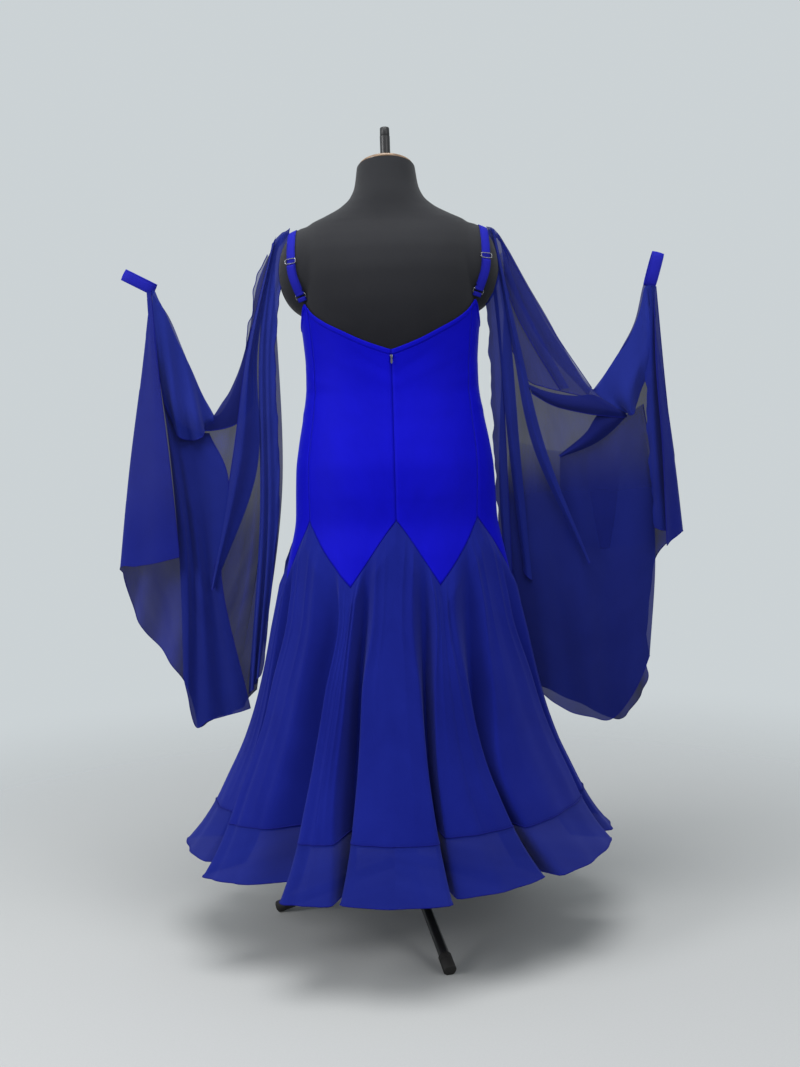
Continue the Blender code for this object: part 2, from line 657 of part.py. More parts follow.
def narrow(grid, inset):
    """Draws a panel's side edges in."""
    for line in grid:
        for edge, inner in ((0, 1), (-1, -2)):
            line[edge] += (line[inner] - line[edge]).normalized() * inset


def bodice():
    names = ("back_left", "side_back_left", "side_front_left", "front",
             "side_front_right", "side_back_right", "back_right")
    for index, name in enumerate(names):
        panel(f"bodice_{name}", 2 * index)


# Skirt
def gore(number):
    """A gore between two points of the bodice, with a whole lobe and two half ones."""
    turns = columns(2 * number - 1, 2)
    rows = 7
    grid = []
    for r in range(rows + 1):
        line = []
        for t in turns:
            high = zigzag(t) - SEAM
            low = band_top(t) + BAND_SEAM / 2
            line.append(dress_point(t, high + (low - high) * (r / rows) ** 0.9))
        grid.append(line)
    narrow(grid, CREST_SEAM / 2)
    cloth(f"skirt_gore_{number + 1}", grid, chiffon())


def skirt():
    for number in range(UNITS):
        gore(number)
    rows = 2
    grid = []
    for r in range(rows + 1):
        line = []
        for t in columns(0, FLUTES)[:-1]:
            high = band_top(t) - BAND_SEAM / 2
            line.append(dress_point(t, high + (HEM_Z - high) * r / rows))
        grid.append(line)
    cloth("hem_band", grid, chiffon(), ring=True)


# Straps
def on_shoulder(tree, side, angle, distance):
    """The body's surface over the shoulder, and a softened normal."""
    centre = Vector((side * distance, 0, SHOULDER_Z))
    out = Vector((0, cos(radians(angle)), sin(radians(angle))))
    hit, normal, _, _ = tree.ray_cast(centre + out * 0.4, -out)
    return hit, (normal + out * 0.6).normalized()


def ribbon(name, points, normals, width, finish, thickness=FABRIC):
    """A flat band along points; its faces look along the normals."""
    grid = []
    for i, (point, normal) in enumerate(zip(points, normals)):
        ahead = points[min(i + 1, len(points) - 1)] - points[max(i - 1, 0)]
        across = ahead.cross(normal).normalized() * width / 2
        grid.append([point - across, point + across])
    return cloth(name, grid, finish, thickness)


def wire_loop(name, centre, across, along, width, length, radius):
    """A rounded rectangle of wire, its long side across the strap."""
    count = 16
    curve = bpy.data.curves.new(name, "CURVE")
    curve.dimensions = "3D"
    curve.bevel_depth = radius
    curve.bevel_resolution = 1
    line = curve.splines.new("POLY")
    line.points.add(count - 1)
    for k in range(count):
        x, y = oval(2 * pi * k / count, width / 2, length / 2, length / 2, 5.0)
        line.points[k].co = (*(centre + across * x + along * y), 1.0)
    line.use_cyclic_u = True
    curve.materials.append(silver_metal())
    made = bpy.data.objects.new(name, curve)
    PARTS.objects.link(made)
    return made


def wrapped(name, bar, down, normal, upper, lower_end, radius):
    """A cloth loop round a bar: along the upper points, round the bar and back to lower_end."""
    turn = radius + FABRIC
    points = [point for point, _ in upper]
    normals = [out for _, out in upper]
    for k in range(7):
        a = pi * k / 6
        out = normal * cos(a) + down * sin(a)
        points.append(bar + out * turn)
        normals.append(out)
    points.append(lower_end)
    normals.append(-normal)
    ribbon(name, points, normals, STRAP_WIDTH - 0.001, satin_jersey())


def strap(tree, side, hand):
    """Strap, its end doubled round the ring, adjuster, ring and the bodice's tab."""
    def on_course(t, aside=0.0):
        angle, distance, _ = spline([(*row, 0) for row in STRAP_COURSE], t)
        return on_shoulder(tree, side, angle, distance + aside)

    def frame(t):
        here, out = on_course(t)
        way = (on_course(t + 0.15)[0] - on_course(t - 0.15)[0]).normalized()
        return here, way, (out - way * out.dot(way)).normalized()

    ring_place, down, normal = frame(RING_AT)
    across = down.cross(normal)
    middle = ring_place + normal * (STRAP_LIFT + WRAP_RADIUS + 0.0006)
    wire_loop(f"ring_{hand}", middle, across, down, RING_WIDTH, RING_LENGTH, RING_WIRE)
    to_bar = down * (RING_LENGTH / 2)
    over_bar = middle - to_bar

    grid = []
    for k in range(24):
        t = (RING_AT - STRAP_STOP) * k / 23
        line = []
        for aside in (-1, 0, 1):
            point, out = on_course(t, side * aside * STRAP_WIDTH / 2)
            line.append(point + out * STRAP_LIFT)
        grid.append(line)
    cloth(f"strap_{hand}", grid, satin_jersey())

    buckle_place, buckle_down, buckle_normal = frame(BUCKLE_AT)
    buckle_middle = buckle_place + buckle_normal * (STRAP_LIFT + 0.0015 + BUCKLE_WIRE)
    wire_loop(f"buckle_{hand}", buckle_middle, buckle_down.cross(buckle_normal), buckle_down,
              BUCKLE_WIDTH, BUCKLE_LENGTH, BUCKLE_WIRE)

    turn = WRAP_RADIUS + FABRIC
    tail = []
    for k in range(8):
        point, _, out = frame(TAIL_FROM + (RING_AT - 0.25 - TAIL_FROM) * k / 7)
        tail.append((point + out * (STRAP_LIFT + WRAP_RADIUS + turn), out))
    wrapped(f"strap_end_{hand}", over_bar, down, normal, tail,
            over_bar - normal * turn - down * 0.0030, WRAP_RADIUS)
    under_bar = middle + to_bar
    reach = down * TAB_LENGTH
    wrapped(f"ring_tab_{hand}", under_bar, -down, normal,
            [(under_bar + normal * turn + reach, normal)],
            under_bar - normal * turn + reach, WRAP_RADIUS)


# Zip
def zip_tape():
    """The woven zip behind the centre back seam, between the body and the panels."""
    top = top_edge(0)
    step = (zigzag(0) + SEAM - top) / PANEL_ROWS
    points = [body_point(0, top + step * r, BODY_EASE - TAPE_GAP) for r in range(PANEL_ROWS + 1)]
    points[0] += (points[1] - points[0]) * (top - ZIP_TOP) / -step
    points[-1] += (points[-2] - points[-1]) * TAPE_SHORT
    normals = [Vector((0, 1, 0))] * len(points)
    ribbon("zip_tape", points, normals, TAPE_WIDTH, satin_jersey(), TAPE_THICKNESS)


def box_shape(name, size, place):
    """A box that is joined to another solid."""
    mesh = bpy.data.meshes.new(name)
    shape = bmesh.new()
    bmesh.ops.create_cube(shape, size=1.0)
    bmesh.ops.scale(shape, vec=size, verts=shape.verts)
    shape.to_mesh(mesh)
    shape.free()
    made = bpy.data.objects.new(name, mesh)
    made.location = place
    made.hide_render = True
    made.display_type = "WIRE"
    CUTTERS.objects.link(made)
    return made


def bar_shape(name, radius, length, place):
    """A round bar along X that is joined to another solid or cut from it."""
    mesh = bpy.data.meshes.new(name)
    shape = bmesh.new()
    bmesh.ops.create_cone(shape, cap_ends=True, segments=16, radius1=radius, radius2=radius,
                          depth=length)
    bmesh.ops.rotate(shape, matrix=Matrix.Rotation(pi / 2, 3, "Y"), verts=shape.verts)
    shape.to_mesh(mesh)
    shape.free()
    made = bpy.data.objects.new(name, mesh)
    made.location = place
    made.hide_render = True
    made.display_type = "WIRE"
    CUTTERS.objects.link(made)
    return made


def combine(target, other, operation):
    step = target.modifiers.new(operation.lower(), "BOOLEAN")
    step.operation = operation
    step.solver = "EXACT"
    step.object = other


def zip_hardware():
    """Slider at the top of the closed zip, with its pull hanging from a pin."""
    face = max(dress_point(0, z).y for z in (PULL_PIVOT_Z - 0.004, PULL_PIVOT_Z + 0.004))
    back = face + 0.0004
    pin = Vector((0, back + SLIDER_DEPTH + 0.0014, PULL_PIVOT_Z))

    shape = bmesh.new()
    bmesh.ops.create_cube(shape, size=1.0)
    bmesh.ops.scale(shape, vec=(SLIDER_WIDTH, SLIDER_DEPTH, SLIDER_HEIGHT), verts=shape.verts)
    slider = from_bmesh("zip_slider", shape, silver_metal())
    slider.location = (0, back + SLIDER_DEPTH / 2, PULL_PIVOT_Z)
    bevel = slider.modifiers.new("soft edges", "BEVEL")
    bevel.width = 0.0005
    bevel.segments = 1
    lug = LUG_GAP / 2 + LUG_WIDTH / 2
    for side in (-1, 1):
        ear = box_shape("lug", (LUG_WIDTH, 0.0028, 0.0022), pin + Vector((side * lug, -0.0006, 0)))
        combine(slider, ear, "UNION")
    combine(slider, bar_shape("pin", PULL_PIN, LUG_GAP + LUG_WIDTH, pin), "UNION")

    blade = bmesh.new()
    bmesh.ops.create_cone(blade, cap_ends=True, segments=16, radius1=1.0, radius2=1.0, depth=1.0)
    bmesh.ops.rotate(blade, matrix=Matrix.Rotation(pi / 2, 3, "X"), verts=blade.verts)
    bmesh.ops.scale(blade, vec=(PULL_WIDTH / 2, PULL_THICKNESS, PULL_LENGTH / 2),
                    verts=blade.verts)
    bmesh.ops.translate(blade, vec=(0, 0, -PULL_LENGTH / 2 - 0.0020), verts=blade.verts)
    pull = from_bmesh("zip_pull", blade, silver_metal())
    pull.location = pin
    neck = box_shape("neck", (LUG_GAP - 0.0006, PULL_THICKNESS, 0.0030),
                     pin + Vector((0, 0, -0.0015)))
    combine(pull, neck, "UNION")
    combine(pull, bar_shape("eye", 0.0011, LUG_GAP - 0.0006, pin), "UNION")
    combine(pull, bar_shape("eye_bore", PULL_PIN + 0.00025, LUG_GAP, pin), "DIFFERENCE")


# Floats
def float_grid(rows, fold_over, side):
    """Points of a float: along the swag, and from the folded-over edge down to the hem."""
    fine = 2
    down = 8
    columns = []
    for k in range((len(rows) - 1) * fine + 1):
        t = k / fine
        anchors = [spline([row[a] for row in rows], t) for a in range(4)]
        drop, aside, behind = spline(fold_over, t)
        top = anchors[0]
        end = top + Vector((aside, behind, -drop))
        bend = top + Vector((0.35 * aside, 0.8 * behind, -0.3 * drop))
        column = [end, bend]
        column += [spline(anchors, 3 * d / down) for d in range(down + 1)]
        columns.append([Vector((side * p.x, p.y, p.z)) for p in column])
    grid = [list(line) for line in zip(*columns)]
    if side < 0:
        grid = [line[::-1] for line in grid]
    return grid


def floats():
    left = float_grid(LEFT_FLOAT, LEFT_FOLD_OVER, 1)
    right = float_grid(RIGHT_FLOAT, RIGHT_FOLD_OVER, -1)
    cloth("float_left", left, chiffon(), FLOAT_THICKNESS, 0.0, even=False)
    cloth("float_right", right, chiffon(), FLOAT_THICKNESS, 0.0, even=False)


def cuff(hand, side, place):
    """A wrist loop, pressed flat, its length in the XZ plane."""
    (x, z), angle = place
    along = Vector((cos(radians(angle)), 0, sin(radians(angle))))
    across = Vector((-sin(radians(angle)), 0, cos(radians(angle))))
    depth = Vector((0, CUFF_DEPTH / 2, 0))
    middle = Vector((x, 0, z)) + along * CUFF_LENGTH / 2
    count = 24
    grid = []
    for edge in (-1, 1):
        line = []
        for k in range(count):
            a = 2 * pi * k / count
            c = cos(a)
            s = sin(a)
            stretch = abs(c) ** 0.7 * (1 if c > 0 else -1)
            point = (middle + along * stretch * CUFF_LENGTH / 2 + depth * s
                     + across * edge * CUFF_WIDTH / 2)
            line.append(Vector((side * point.x, point.y, point.z)))
        grid.append(line)
    cloth(f"cuff_{hand}", grid, satin_jersey(), CUFF_THICKNESS, 0.0, ring=True)


for leftover in list(bpy.data.objects):
    bpy.data.objects.remove(leftover, do_unlink=True)
PARTS = bpy.data.collections.new("lyrical_dance_dress")
CUTTERS = bpy.data.collections.new("shaping_solids")
bpy.context.scene.collection.children.link(PARTS)
bpy.context.scene.collection.children.link(CUTTERS)

stand()
collar()
torso = form_torso()
neck_cap()
bodice()
skirt()
floats()
cuff("left", 1, LEFT_CUFF)
cuff("right", -1, RIGHT_CUFF)
zip_tape()
zip_hardware()
bpy.context.view_layer.update()
evaluated = torso.evaluated_get(bpy.context.evaluated_depsgraph_get())
torso_tree = BVHTree.FromPolygons([v.co.copy() for v in evaluated.data.vertices],
                                  [tuple(p.vertices) for p in evaluated.data.polygons])
for hand, side in (("left", 1), ("right", -1)):
    strap(torso_tree, side, hand)
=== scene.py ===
# %% [markdown]
# # A dance dress on a dress form
# The dress is a royal blue ballroom dress, shown from behind on a limbless black form with a
# wooden neck cap and a tripod.  A smooth jersey bodice ends in a zigzag below the hips, seven
# chiffon gores flare to a stiffened hem band, and two chiffon floats hang between the straps
# and the wrist loops.  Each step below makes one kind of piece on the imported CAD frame.

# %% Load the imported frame
from math import ceil, cos, floor, pi, radians, sin

import bmesh
import bpy
import numpy as np
from mathutils import Matrix, Vector
from mathutils.bvhtree import BVHTree


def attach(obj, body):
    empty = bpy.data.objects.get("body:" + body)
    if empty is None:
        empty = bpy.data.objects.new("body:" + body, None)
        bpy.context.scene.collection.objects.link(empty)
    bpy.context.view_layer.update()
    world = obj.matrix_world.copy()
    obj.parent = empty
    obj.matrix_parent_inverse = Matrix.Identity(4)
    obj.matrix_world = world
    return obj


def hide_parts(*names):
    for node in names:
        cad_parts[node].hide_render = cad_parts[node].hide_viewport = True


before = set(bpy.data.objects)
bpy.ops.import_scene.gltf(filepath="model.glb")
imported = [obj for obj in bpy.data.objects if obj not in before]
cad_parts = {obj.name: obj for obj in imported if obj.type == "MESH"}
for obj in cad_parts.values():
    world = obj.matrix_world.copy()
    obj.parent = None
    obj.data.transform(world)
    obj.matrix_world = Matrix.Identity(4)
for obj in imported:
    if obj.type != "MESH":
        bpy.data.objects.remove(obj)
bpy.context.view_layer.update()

# %% [markdown]
# ## The camera
# The picture was taken from behind, a little above the hips, with the camera tipped down and
# rolled slightly.  The dress faces -Y, so the camera stands at +Y.  A plain matrix of right,
# up and back axes says that more clearly than three Euler angles.

# %% Camera
CAMERA_PLACE = (-0.0055, 2.3544, 0.9221)
CAMERA_PITCH = radians(4.61)
CAMERA_ROLL = radians(-1.76)
CAMERA_LENS = 57.73


def make_camera():
    data = bpy.data.cameras.new("photo_camera")
    data.sensor_width = 36.0
    data.sensor_fit = "HORIZONTAL"
    data.lens = CAMERA_LENS
    made = bpy.data.objects.new("photo_camera", data)
    bpy.context.scene.collection.objects.link(made)
    right = Vector((-1, 0, 0))
    up = Vector((0, -sin(CAMERA_PITCH), cos(CAMERA_PITCH)))
    axes = Matrix((right, up, right.cross(up))).transposed().to_4x4()
    roll = Matrix.Rotation(CAMERA_ROLL, 4, "Z")
    made.matrix_world = Matrix.Translation(CAMERA_PLACE) @ axes @ roll
    bpy.context.scene.camera = made
    return made


camera = make_camera()
print("camera at", [round(v, 3) for v in camera.location])

# %% [markdown]
# ## Light
# The backdrop is an even pale grey, brighter to the right, and the only shadow is a soft one
# on the floor.  An even world light gives the shadowless look, a large lamp overhead brings
# out the folds, and a weaker one on each side keeps the back of the dress readable.

# %% World and lamps
BACKDROP = (0.600, 0.645, 0.665)


def make_light():
    scene = bpy.context.scene
    scene.view_settings.view_transform = "Standard"
    scene.view_settings.look = "None"
    world = bpy.data.worlds.new("pale_studio")
    world.use_nodes = True
    world.node_tree.nodes["Background"].inputs["Color"].default_value = (*BACKDROP, 1.0)
    scene.world = world
    lamps = (("overhead_lamp", (0.1, 0.9, 3.3), 2.2, 95.0),
             ("left_side_lamp", (2.8, 1.6, 2.0), 1.4, 74.0),
             ("right_side_lamp", (-2.3, 2.8, 1.9), 1.6, 34.0))
    for name, place, size, power in lamps:
        data = bpy.data.lights.new(name, "AREA")
        data.shape = "DISK"
        data.size = size
        data.energy = power
        lamp = bpy.data.objects.new(name, data)
        scene.collection.objects.link(lamp)
        lamp.location = place
        lamp.rotation_mode = "QUATERNION"
        lamp.rotation_quaternion = (Vector((0, 0, 0.7)) - lamp.location).to_track_quat("-Z", "Y")
    return [row[0] for row in lamps]


print("lamps", make_light())

# %% [markdown]
# ## Shader helpers
# A material is a small network.  Building it by hand for every finish would repeat the same
# lines, so one helper adds a node and feeds its sockets, and others add the steps that come
# back most: sums, noise, a range and a mix of two colours.

# %% Node helpers
def feed(tree, socket, value):
    if isinstance(value, bpy.types.NodeSocket):
        tree.links.new(value, socket)
    else:
        socket.default_value = value


def add(tree, kind, inputs, **settings):
    made = tree.nodes.new(kind)
    for key, value in settings.items():
        setattr(made, key, value)
    for key, value in inputs.items() if isinstance(inputs, dict) else enumerate(inputs):
        feed(tree, made.inputs[key], value)
    return made


def math_step(tree, operation, *values):
    return add(tree, "ShaderNodeMath", values, operation=operation).outputs[0]


def scaled(tree, place, factors):
    return add(tree, "ShaderNodeVectorMath", [place, factors], operation="MULTIPLY").outputs[0]


def noise(tree, place, scale, detail=2.0, roughness=0.5):
    return add(tree, "ShaderNodeTexNoise", {
        "Vector": place, "Scale": scale, "Detail": detail, "Roughness": roughness}).outputs["Fac"]


def spread(tree, mask, low, high, start=0.0, end=1.0, smooth=False):
    """From low to high, while the mask goes from start to end."""
    return add(tree, "ShaderNodeMapRange", [mask, start, end, low, high],
               interpolation_type="SMOOTHSTEP" if smooth else "LINEAR").outputs[0]


def height_of(tree, place):
    return add(tree, "ShaderNodeSeparateXYZ", [place["Object"]]).outputs[2]


def use_group(tree, group, *inputs):
    made = tree.nodes.new("ShaderNodeGroup")
    made.node_tree = group
    for socket, value in zip(made.inputs, inputs):
        feed(tree, socket, value)
    return made.outputs


def make_group(name, values, gives, build):
    """A group that takes a place and some values, and gives the numbers that build returns."""
    tree = bpy.data.node_groups.new(name, "ShaderNodeTree")
    tree.interface.new_socket("Place", in_out="INPUT", socket_type="NodeSocketVector")
    for label, value in values.items():
        taken = tree.interface.new_socket(label, in_out="INPUT", socket_type="NodeSocketFloat")
        taken.default_value = value
    for label in gives:
        tree.interface.new_socket(label, in_out="OUTPUT", socket_type="NodeSocketFloat")
    start = tree.nodes.new("NodeGroupInput").outputs
    end = tree.nodes.new("NodeGroupOutput").inputs
    for label, result in zip(gives, build(tree, start)):
        tree.links.new(result, end[label])
    return tree


# %% [markdown]
# ## Effect groups
# Four effects come back in many finishes.  Threads crossing over and under give cloth its
# fine relief.  Slow patches and long streaks keep a dyed cloth from looking like plastic.
# Sheer cloth lets light through unevenly, as its yarns crowd and part.  Hard parts carry
# fine scratches and finger marks.

# %% Woven threads
def weave(tree, start):
    turns = math_step(tree, "DIVIDE", 2 * pi, start["Pitch"])
    wound = add(tree, "ShaderNodeVectorMath", {"Vector": start["Place"], "Scale": turns},
                operation="SCALE").outputs[0]
    parts = add(tree, "ShaderNodeSeparateXYZ", [wound]).outputs
    crossing = math_step(tree, "MULTIPLY", math_step(tree, "SINE", parts[0]),
                         math_step(tree, "SINE", parts[1]))
    streak = noise(tree, scaled(tree, start["Place"], (1.0, 0.06, 1.0)), 900.0)
    slub = math_step(tree, "MULTIPLY", streak, start["Slub"])
    half = math_step(tree, "MULTIPLY_ADD", crossing, 0.5, 0.5)
    return math_step(tree, "ADD", half, slub), streak


woven_threads = make_group("woven_threads", {"Pitch": 0.0005, "Slub": 0.3},
                           ("Height", "Yarn"), weave)

# %% Dye patches
def dye(tree, start):
    broad = noise(tree, start["Place"], start["Patches"], 3.0, 0.55)
    clear = spread(tree, broad, 0.0, 1.0, 0.30, 0.70, smooth=True)
    return clear, noise(tree, start["Place"], start["Grain"])


dye_tone = make_group("dye_tone", {"Patches": 9.0, "Grain": 420.0}, ("Tone", "Grain"), dye)

# %% Sheer cover
def uneven_cover(tree, start):
    broad = noise(tree, start["Place"], 14.0, 3.0)
    fine = noise(tree, start["Place"], 650.0, 1.0)
    level = math_step(tree, "SUBTRACT", math_step(tree, "MULTIPLY_ADD", fine, 0.6, broad), 0.8)
    shift = math_step(tree, "MULTIPLY", level, start["Uneven"])
    total = math_step(tree, "ADD", start["Cover"], shift)
    return (math_step(tree, "MINIMUM", total, 1.0),)


sheer_cover = make_group("sheer_cover", {"Cover": 0.92, "Uneven": 0.05}, ("Cover",), uneven_cover)

# %% Handling marks
def handling(tree, start):
    drawn = scaled(tree, start["Place"], (1.0, 1.0, 0.08))
    lines = noise(tree, drawn, start["Scratches"], 6.0, 0.7)
    return (spread(tree, lines, 0.0, 1.0, 0.58, 0.72),
            noise(tree, start["Place"], start["Marks"]), noise(tree, start["Place"], 900.0, 1.0))


handling_marks = make_group("handling_marks", {"Scratches": 60.0, "Marks": 18.0},
                            ("Scratch", "Mark", "Grain"), handling)
print("effect groups", [g.name for g in bpy.data.node_groups])

# %% [markdown]
# ## Finishes
# The bodice is a smooth stretch jersey with a quiet sheen, the gores and floats a crinkled
# chiffon, and the form wears a dull knitted cover.  Each finish takes the same groups with its
# own values.  Cloth patterns follow the UV map, which the cloth helper makes in metres, so a
# thread has the same size on every piece.

# %% Shared parts of a finish
def open_finish(name, constants):
    made = bpy.data.materials.new(name)
    made.use_nodes = True
    tree = made.node_tree
    shader = tree.nodes["Principled BSDF"]
    for key, value in constants.items():
        shader.inputs[key].default_value = value
    return made, tree, shader, tree.nodes.new("ShaderNodeTexCoord").outputs


def two_tone(tree, mask, dark, light):
    return add(tree, "ShaderNodeMix", {"Factor": mask, "A": (*dark, 1.0), "B": (*light, 1.0)},
               data_type="RGBA").outputs["Result"]


def relief(tree, height, strength, distance):
    return add(tree, "ShaderNodeBump", {
        "Strength": strength, "Distance": distance, "Height": height}).outputs[0]


def face(tree, shader, colour, roughness, normal):
    for key, value in (("Base Color", colour), ("Roughness", roughness), ("Normal", normal)):
        feed(tree, shader.inputs[key], value)


# %% Jersey
def jersey(name, dark, light):
    made, tree, shader, place = open_finish(name, {
        "Sheen Weight": 0.12, "Sheen Roughness": 0.45, "Sheen Tint": (0.10, 0.12, 1.0, 1.0),
        "Specular IOR Level": 0.05})
    tone = use_group(tree, dye_tone, place["UV"], 7.0, 700.0)
    knit = use_group(tree, woven_threads, place["UV"], 0.0007, 0.5)
    mask = math_step(tree, "MULTIPLY_ADD", knit["Yarn"], 0.35,
                     math_step(tree, "MULTIPLY", tone["Tone"], 0.65))
    face(tree, shader, two_tone(tree, mask, dark, light), spread(tree, tone["Grain"], 0.50, 0.72),
         relief(tree, knit["Height"], 0.25, 0.0002))
    return made


bodice_jersey = jersey("royal_blue_jersey", (0.0007, 0.0005, 0.270), (0.0013, 0.0009, 0.330))
strap_jersey = jersey("royal_blue_binding", (0.0060, 0.0066, 0.190), (0.0100, 0.0112, 0.240))

# %% Chiffon
def chiffon(name, dark, light, cover=1.0, uneven=0.05, high_cover=None, fade=None):
    """Crinkled chiffon; with a high cover, its cover changes between the two heights of fade."""
    made, tree, shader, place = open_finish(name, {
        "Sheen Weight": 0.10, "Sheen Roughness": 0.6, "Sheen Tint": (0.25, 0.30, 1.0, 1.0),
        "Specular IOR Level": 0.05})
    tone = use_group(tree, dye_tone, place["UV"], 6.0, 380.0)
    crepe = use_group(tree, woven_threads, place["UV"], 0.0006, 0.8)
    mask = math_step(tree, "MULTIPLY_ADD", tone["Grain"], 0.5,
                     math_step(tree, "MULTIPLY", tone["Tone"], 0.5))
    crinkle = math_step(tree, "MULTIPLY_ADD", tone["Grain"], 1.5, crepe["Height"])
    face(tree, shader, two_tone(tree, mask, dark, light), spread(tree, crepe["Yarn"], 0.78, 0.95),
         relief(tree, crinkle, 0.35, 0.0003))
    if high_cover is not None:
        cover = spread(tree, height_of(tree, place), high_cover, cover, *fade, smooth=True)
    if cover != 1.0:
        sheer = use_group(tree, sheer_cover, place["UV"], cover, uneven)
        feed(tree, shader.inputs["Alpha"], sheer["Cover"])
    return made


gore_chiffon = chiffon("chiffon_gore", (0.0018, 0.0046, 0.104), (0.0044, 0.0092, 0.148))
band_chiffon = chiffon("chiffon_band", (0.0026, 0.0060, 0.098), (0.0056, 0.0110, 0.136),
                       0.982, 0.02)
float_chiffon = chiffon("chiffon_float", (0.0026, 0.0052, 0.096), (0.0050, 0.0092, 0.142),
                        0.955, high_cover=0.880, fade=(0.86, 0.70))
fold_chiffon = chiffon("chiffon_fold", (0.0026, 0.0060, 0.090), (0.0054, 0.0110, 0.128),
                       0.965, 0.03)
swag_chiffon = chiffon("chiffon_swag", (0.0040, 0.0090, 0.110), (0.0080, 0.0150, 0.155),
                       0.96, 0.03)
veil_chiffon = chiffon("chiffon_veil", (0.0026, 0.0056, 0.080), (0.0052, 0.0100, 0.112),
                       0.94, high_cover=0.10, fade=(0.93, 0.78))
# A darker copy of the same chiffon with painted shade in its colour, for the inner layers tucked
# under the others.
shaded_chiffon = chiffon("chiffon_painted_shade", (0.0012, 0.0028, 0.050), (0.0026, 0.0054, 0.076),
                       0.975, 0.03)
sheer_chiffon = chiffon("chiffon_sheer", (0.0030, 0.0060, 0.090), (0.0058, 0.0104, 0.130), 0.62)
thread_blue = chiffon("blue_thread", (0.0014, 0.0024, 0.080), (0.0030, 0.0046, 0.130))

# %% Form cover, steel, rubber, silver and wood
def form_cover():
    made, tree, shader, place = open_finish("black_form_jersey", {
        "Sheen Weight": 0.08, "Sheen Roughness": 0.5, "Specular IOR Level": 0.12})
    tone = use_group(tree, dye_tone, place["Object"], 5.0, 500.0)
    knit = use_group(tree, woven_threads, place["UV"], 0.0012, 0.4)
    # Painted light: the cover grows lighter from 1.02 m up to 1.40 m, standing for the lamp
    # overhead lighting the upper torso while the lower torso falls into painted shade.
    painted_top_light = spread(tree, height_of(tree, place), 0.0, 0.85, 1.02, 1.40, smooth=True)
    mask = math_step(tree, "MULTIPLY_ADD", tone["Grain"], 0.15,
                     math_step(tree, "MULTIPLY_ADD", tone["Tone"], 0.15, painted_top_light))
    face(tree, shader, two_tone(tree, mask, (0.0022, 0.0022, 0.0044), (0.0175, 0.0180, 0.0205)),
         spread(tree, knit["Yarn"], 0.80, 0.98), relief(tree, knit["Height"], 0.4, 0.0004))
    return made


def hard_finish(name, dark, light, roughness, metallic, bump):
    made, tree, shader, place = open_finish(name, {"Metallic": metallic})
    marks = use_group(tree, handling_marks, place["Object"])
    face(tree, shader, two_tone(tree, marks["Scratch"], dark, light),
         spread(tree, marks["Mark"], *roughness), relief(tree, marks["Grain"], bump, 0.0002))
    return made


def varnished_wood():
    made, tree, shader, place = open_finish("varnished_wood", {
        "Coat Weight": 0.35, "Coat Roughness": 0.2})
    rings = noise(tree, scaled(tree, place["Object"], (6.0, 60.0, 60.0)), 2.2, 6.0, 0.65)
    marks = use_group(tree, handling_marks, place["Object"])
    line = spread(tree, rings, 0.0, 1.0, 0.35, 0.65)
    face(tree, shader, two_tone(tree, line, (0.10, 0.055, 0.028), (0.25, 0.160, 0.095)),
         spread(tree, marks["Mark"], 0.30, 0.55), relief(tree, rings, 0.12, 0.0004))
    return made


form_jersey = form_cover()
painted_steel = hard_finish("black_painted_steel", (0.012, 0.012, 0.013), (0.030, 0.030, 0.032),
                            (0.30, 0.55), 0.3, 0.15)
black_rubber = hard_finish("black_rubber", (0.0045, 0.0035, 0.0035), (0.0110, 0.0085, 0.0080),
                           (0.70, 0.90), 0.0, 0.4)
silver_metal = hard_finish("silver_metal", (0.16, 0.16, 0.18), (0.11, 0.11, 0.13),
                           (0.16, 0.34), 1.0, 0.05)
cap_wood = varnished_wood()
print("finishes", len(bpy.data.materials))

# %% [markdown]
# ## Floor
# The floor has no edge in the picture.  A disc whose cover fades with distance leaves the
# shadow under the dress and lets the backdrop take over, with no horizon in any view.

# %% Floor disc
FLOOR_RADIUS = 2.6
FLOOR_FADE = (0.55, 2.3)


def floor_finish():
    made, tree, shader, place = open_finish("pale_floor", {
        "Specular IOR Level": 0.1, "Roughness": 0.9})
    tone = use_group(tree, dye_tone, place["Object"], 2.0, 300.0)
    feed(tree, shader.inputs["Base Color"],
         two_tone(tree, tone["Grain"], (0.345, 0.349, 0.349), (0.375, 0.379, 0.379)))
    far = add(tree, "ShaderNodeVectorMath", [place["Object"]], operation="LENGTH").outputs["Value"]
    feed(tree, shader.inputs["Alpha"], spread(tree, far, 1.0, 0.0, *FLOOR_FADE, smooth=True))
    return made


def make_floor():
    shape = bmesh.new()
    bmesh.ops.create_circle(shape, cap_ends=True, radius=FLOOR_RADIUS, segments=96)
    mesh = bpy.data.meshes.new("studio_floor")
    shape.to_mesh(mesh)
    shape.free()
    mesh.materials.append(floor_finish())
    made = bpy.data.objects.new("studio_floor", mesh)
    bpy.context.scene.collection.objects.link(made)


make_floor()

# %% [markdown]
# ## Mesh helpers
# Cloth is a grid of points.  Rows run down the piece and columns go round it, so one helper
# makes the faces and a UV map in metres.  Round parts are turned from a profile, and wire,
# rolled edges and threads are tubes swept along points.

# %% Grid mesh
def new_piece(name, points, faces, finish, uv=None):
    mesh = bpy.data.meshes.new(name)
    mesh.from_pydata(np.asarray(points).reshape(-1, 3).tolist(), [], [list(f) for f in faces])
    mesh.materials.append(finish)
    mesh.shade_smooth()
    if uv is not None:
        layer = mesh.uv_layers.new(name="cloth")
        layer.data.foreach_set("uv", np.asarray(uv, np.float32).ravel())
    made = bpy.data.objects.new(name, mesh)
    bpy.context.scene.collection.objects.link(made)
    return made


def steps_along(points, axis):
    """The lengths of the steps between neighbouring points of a grid or a line."""
    return np.linalg.norm(np.diff(points, axis=axis), axis=-1)


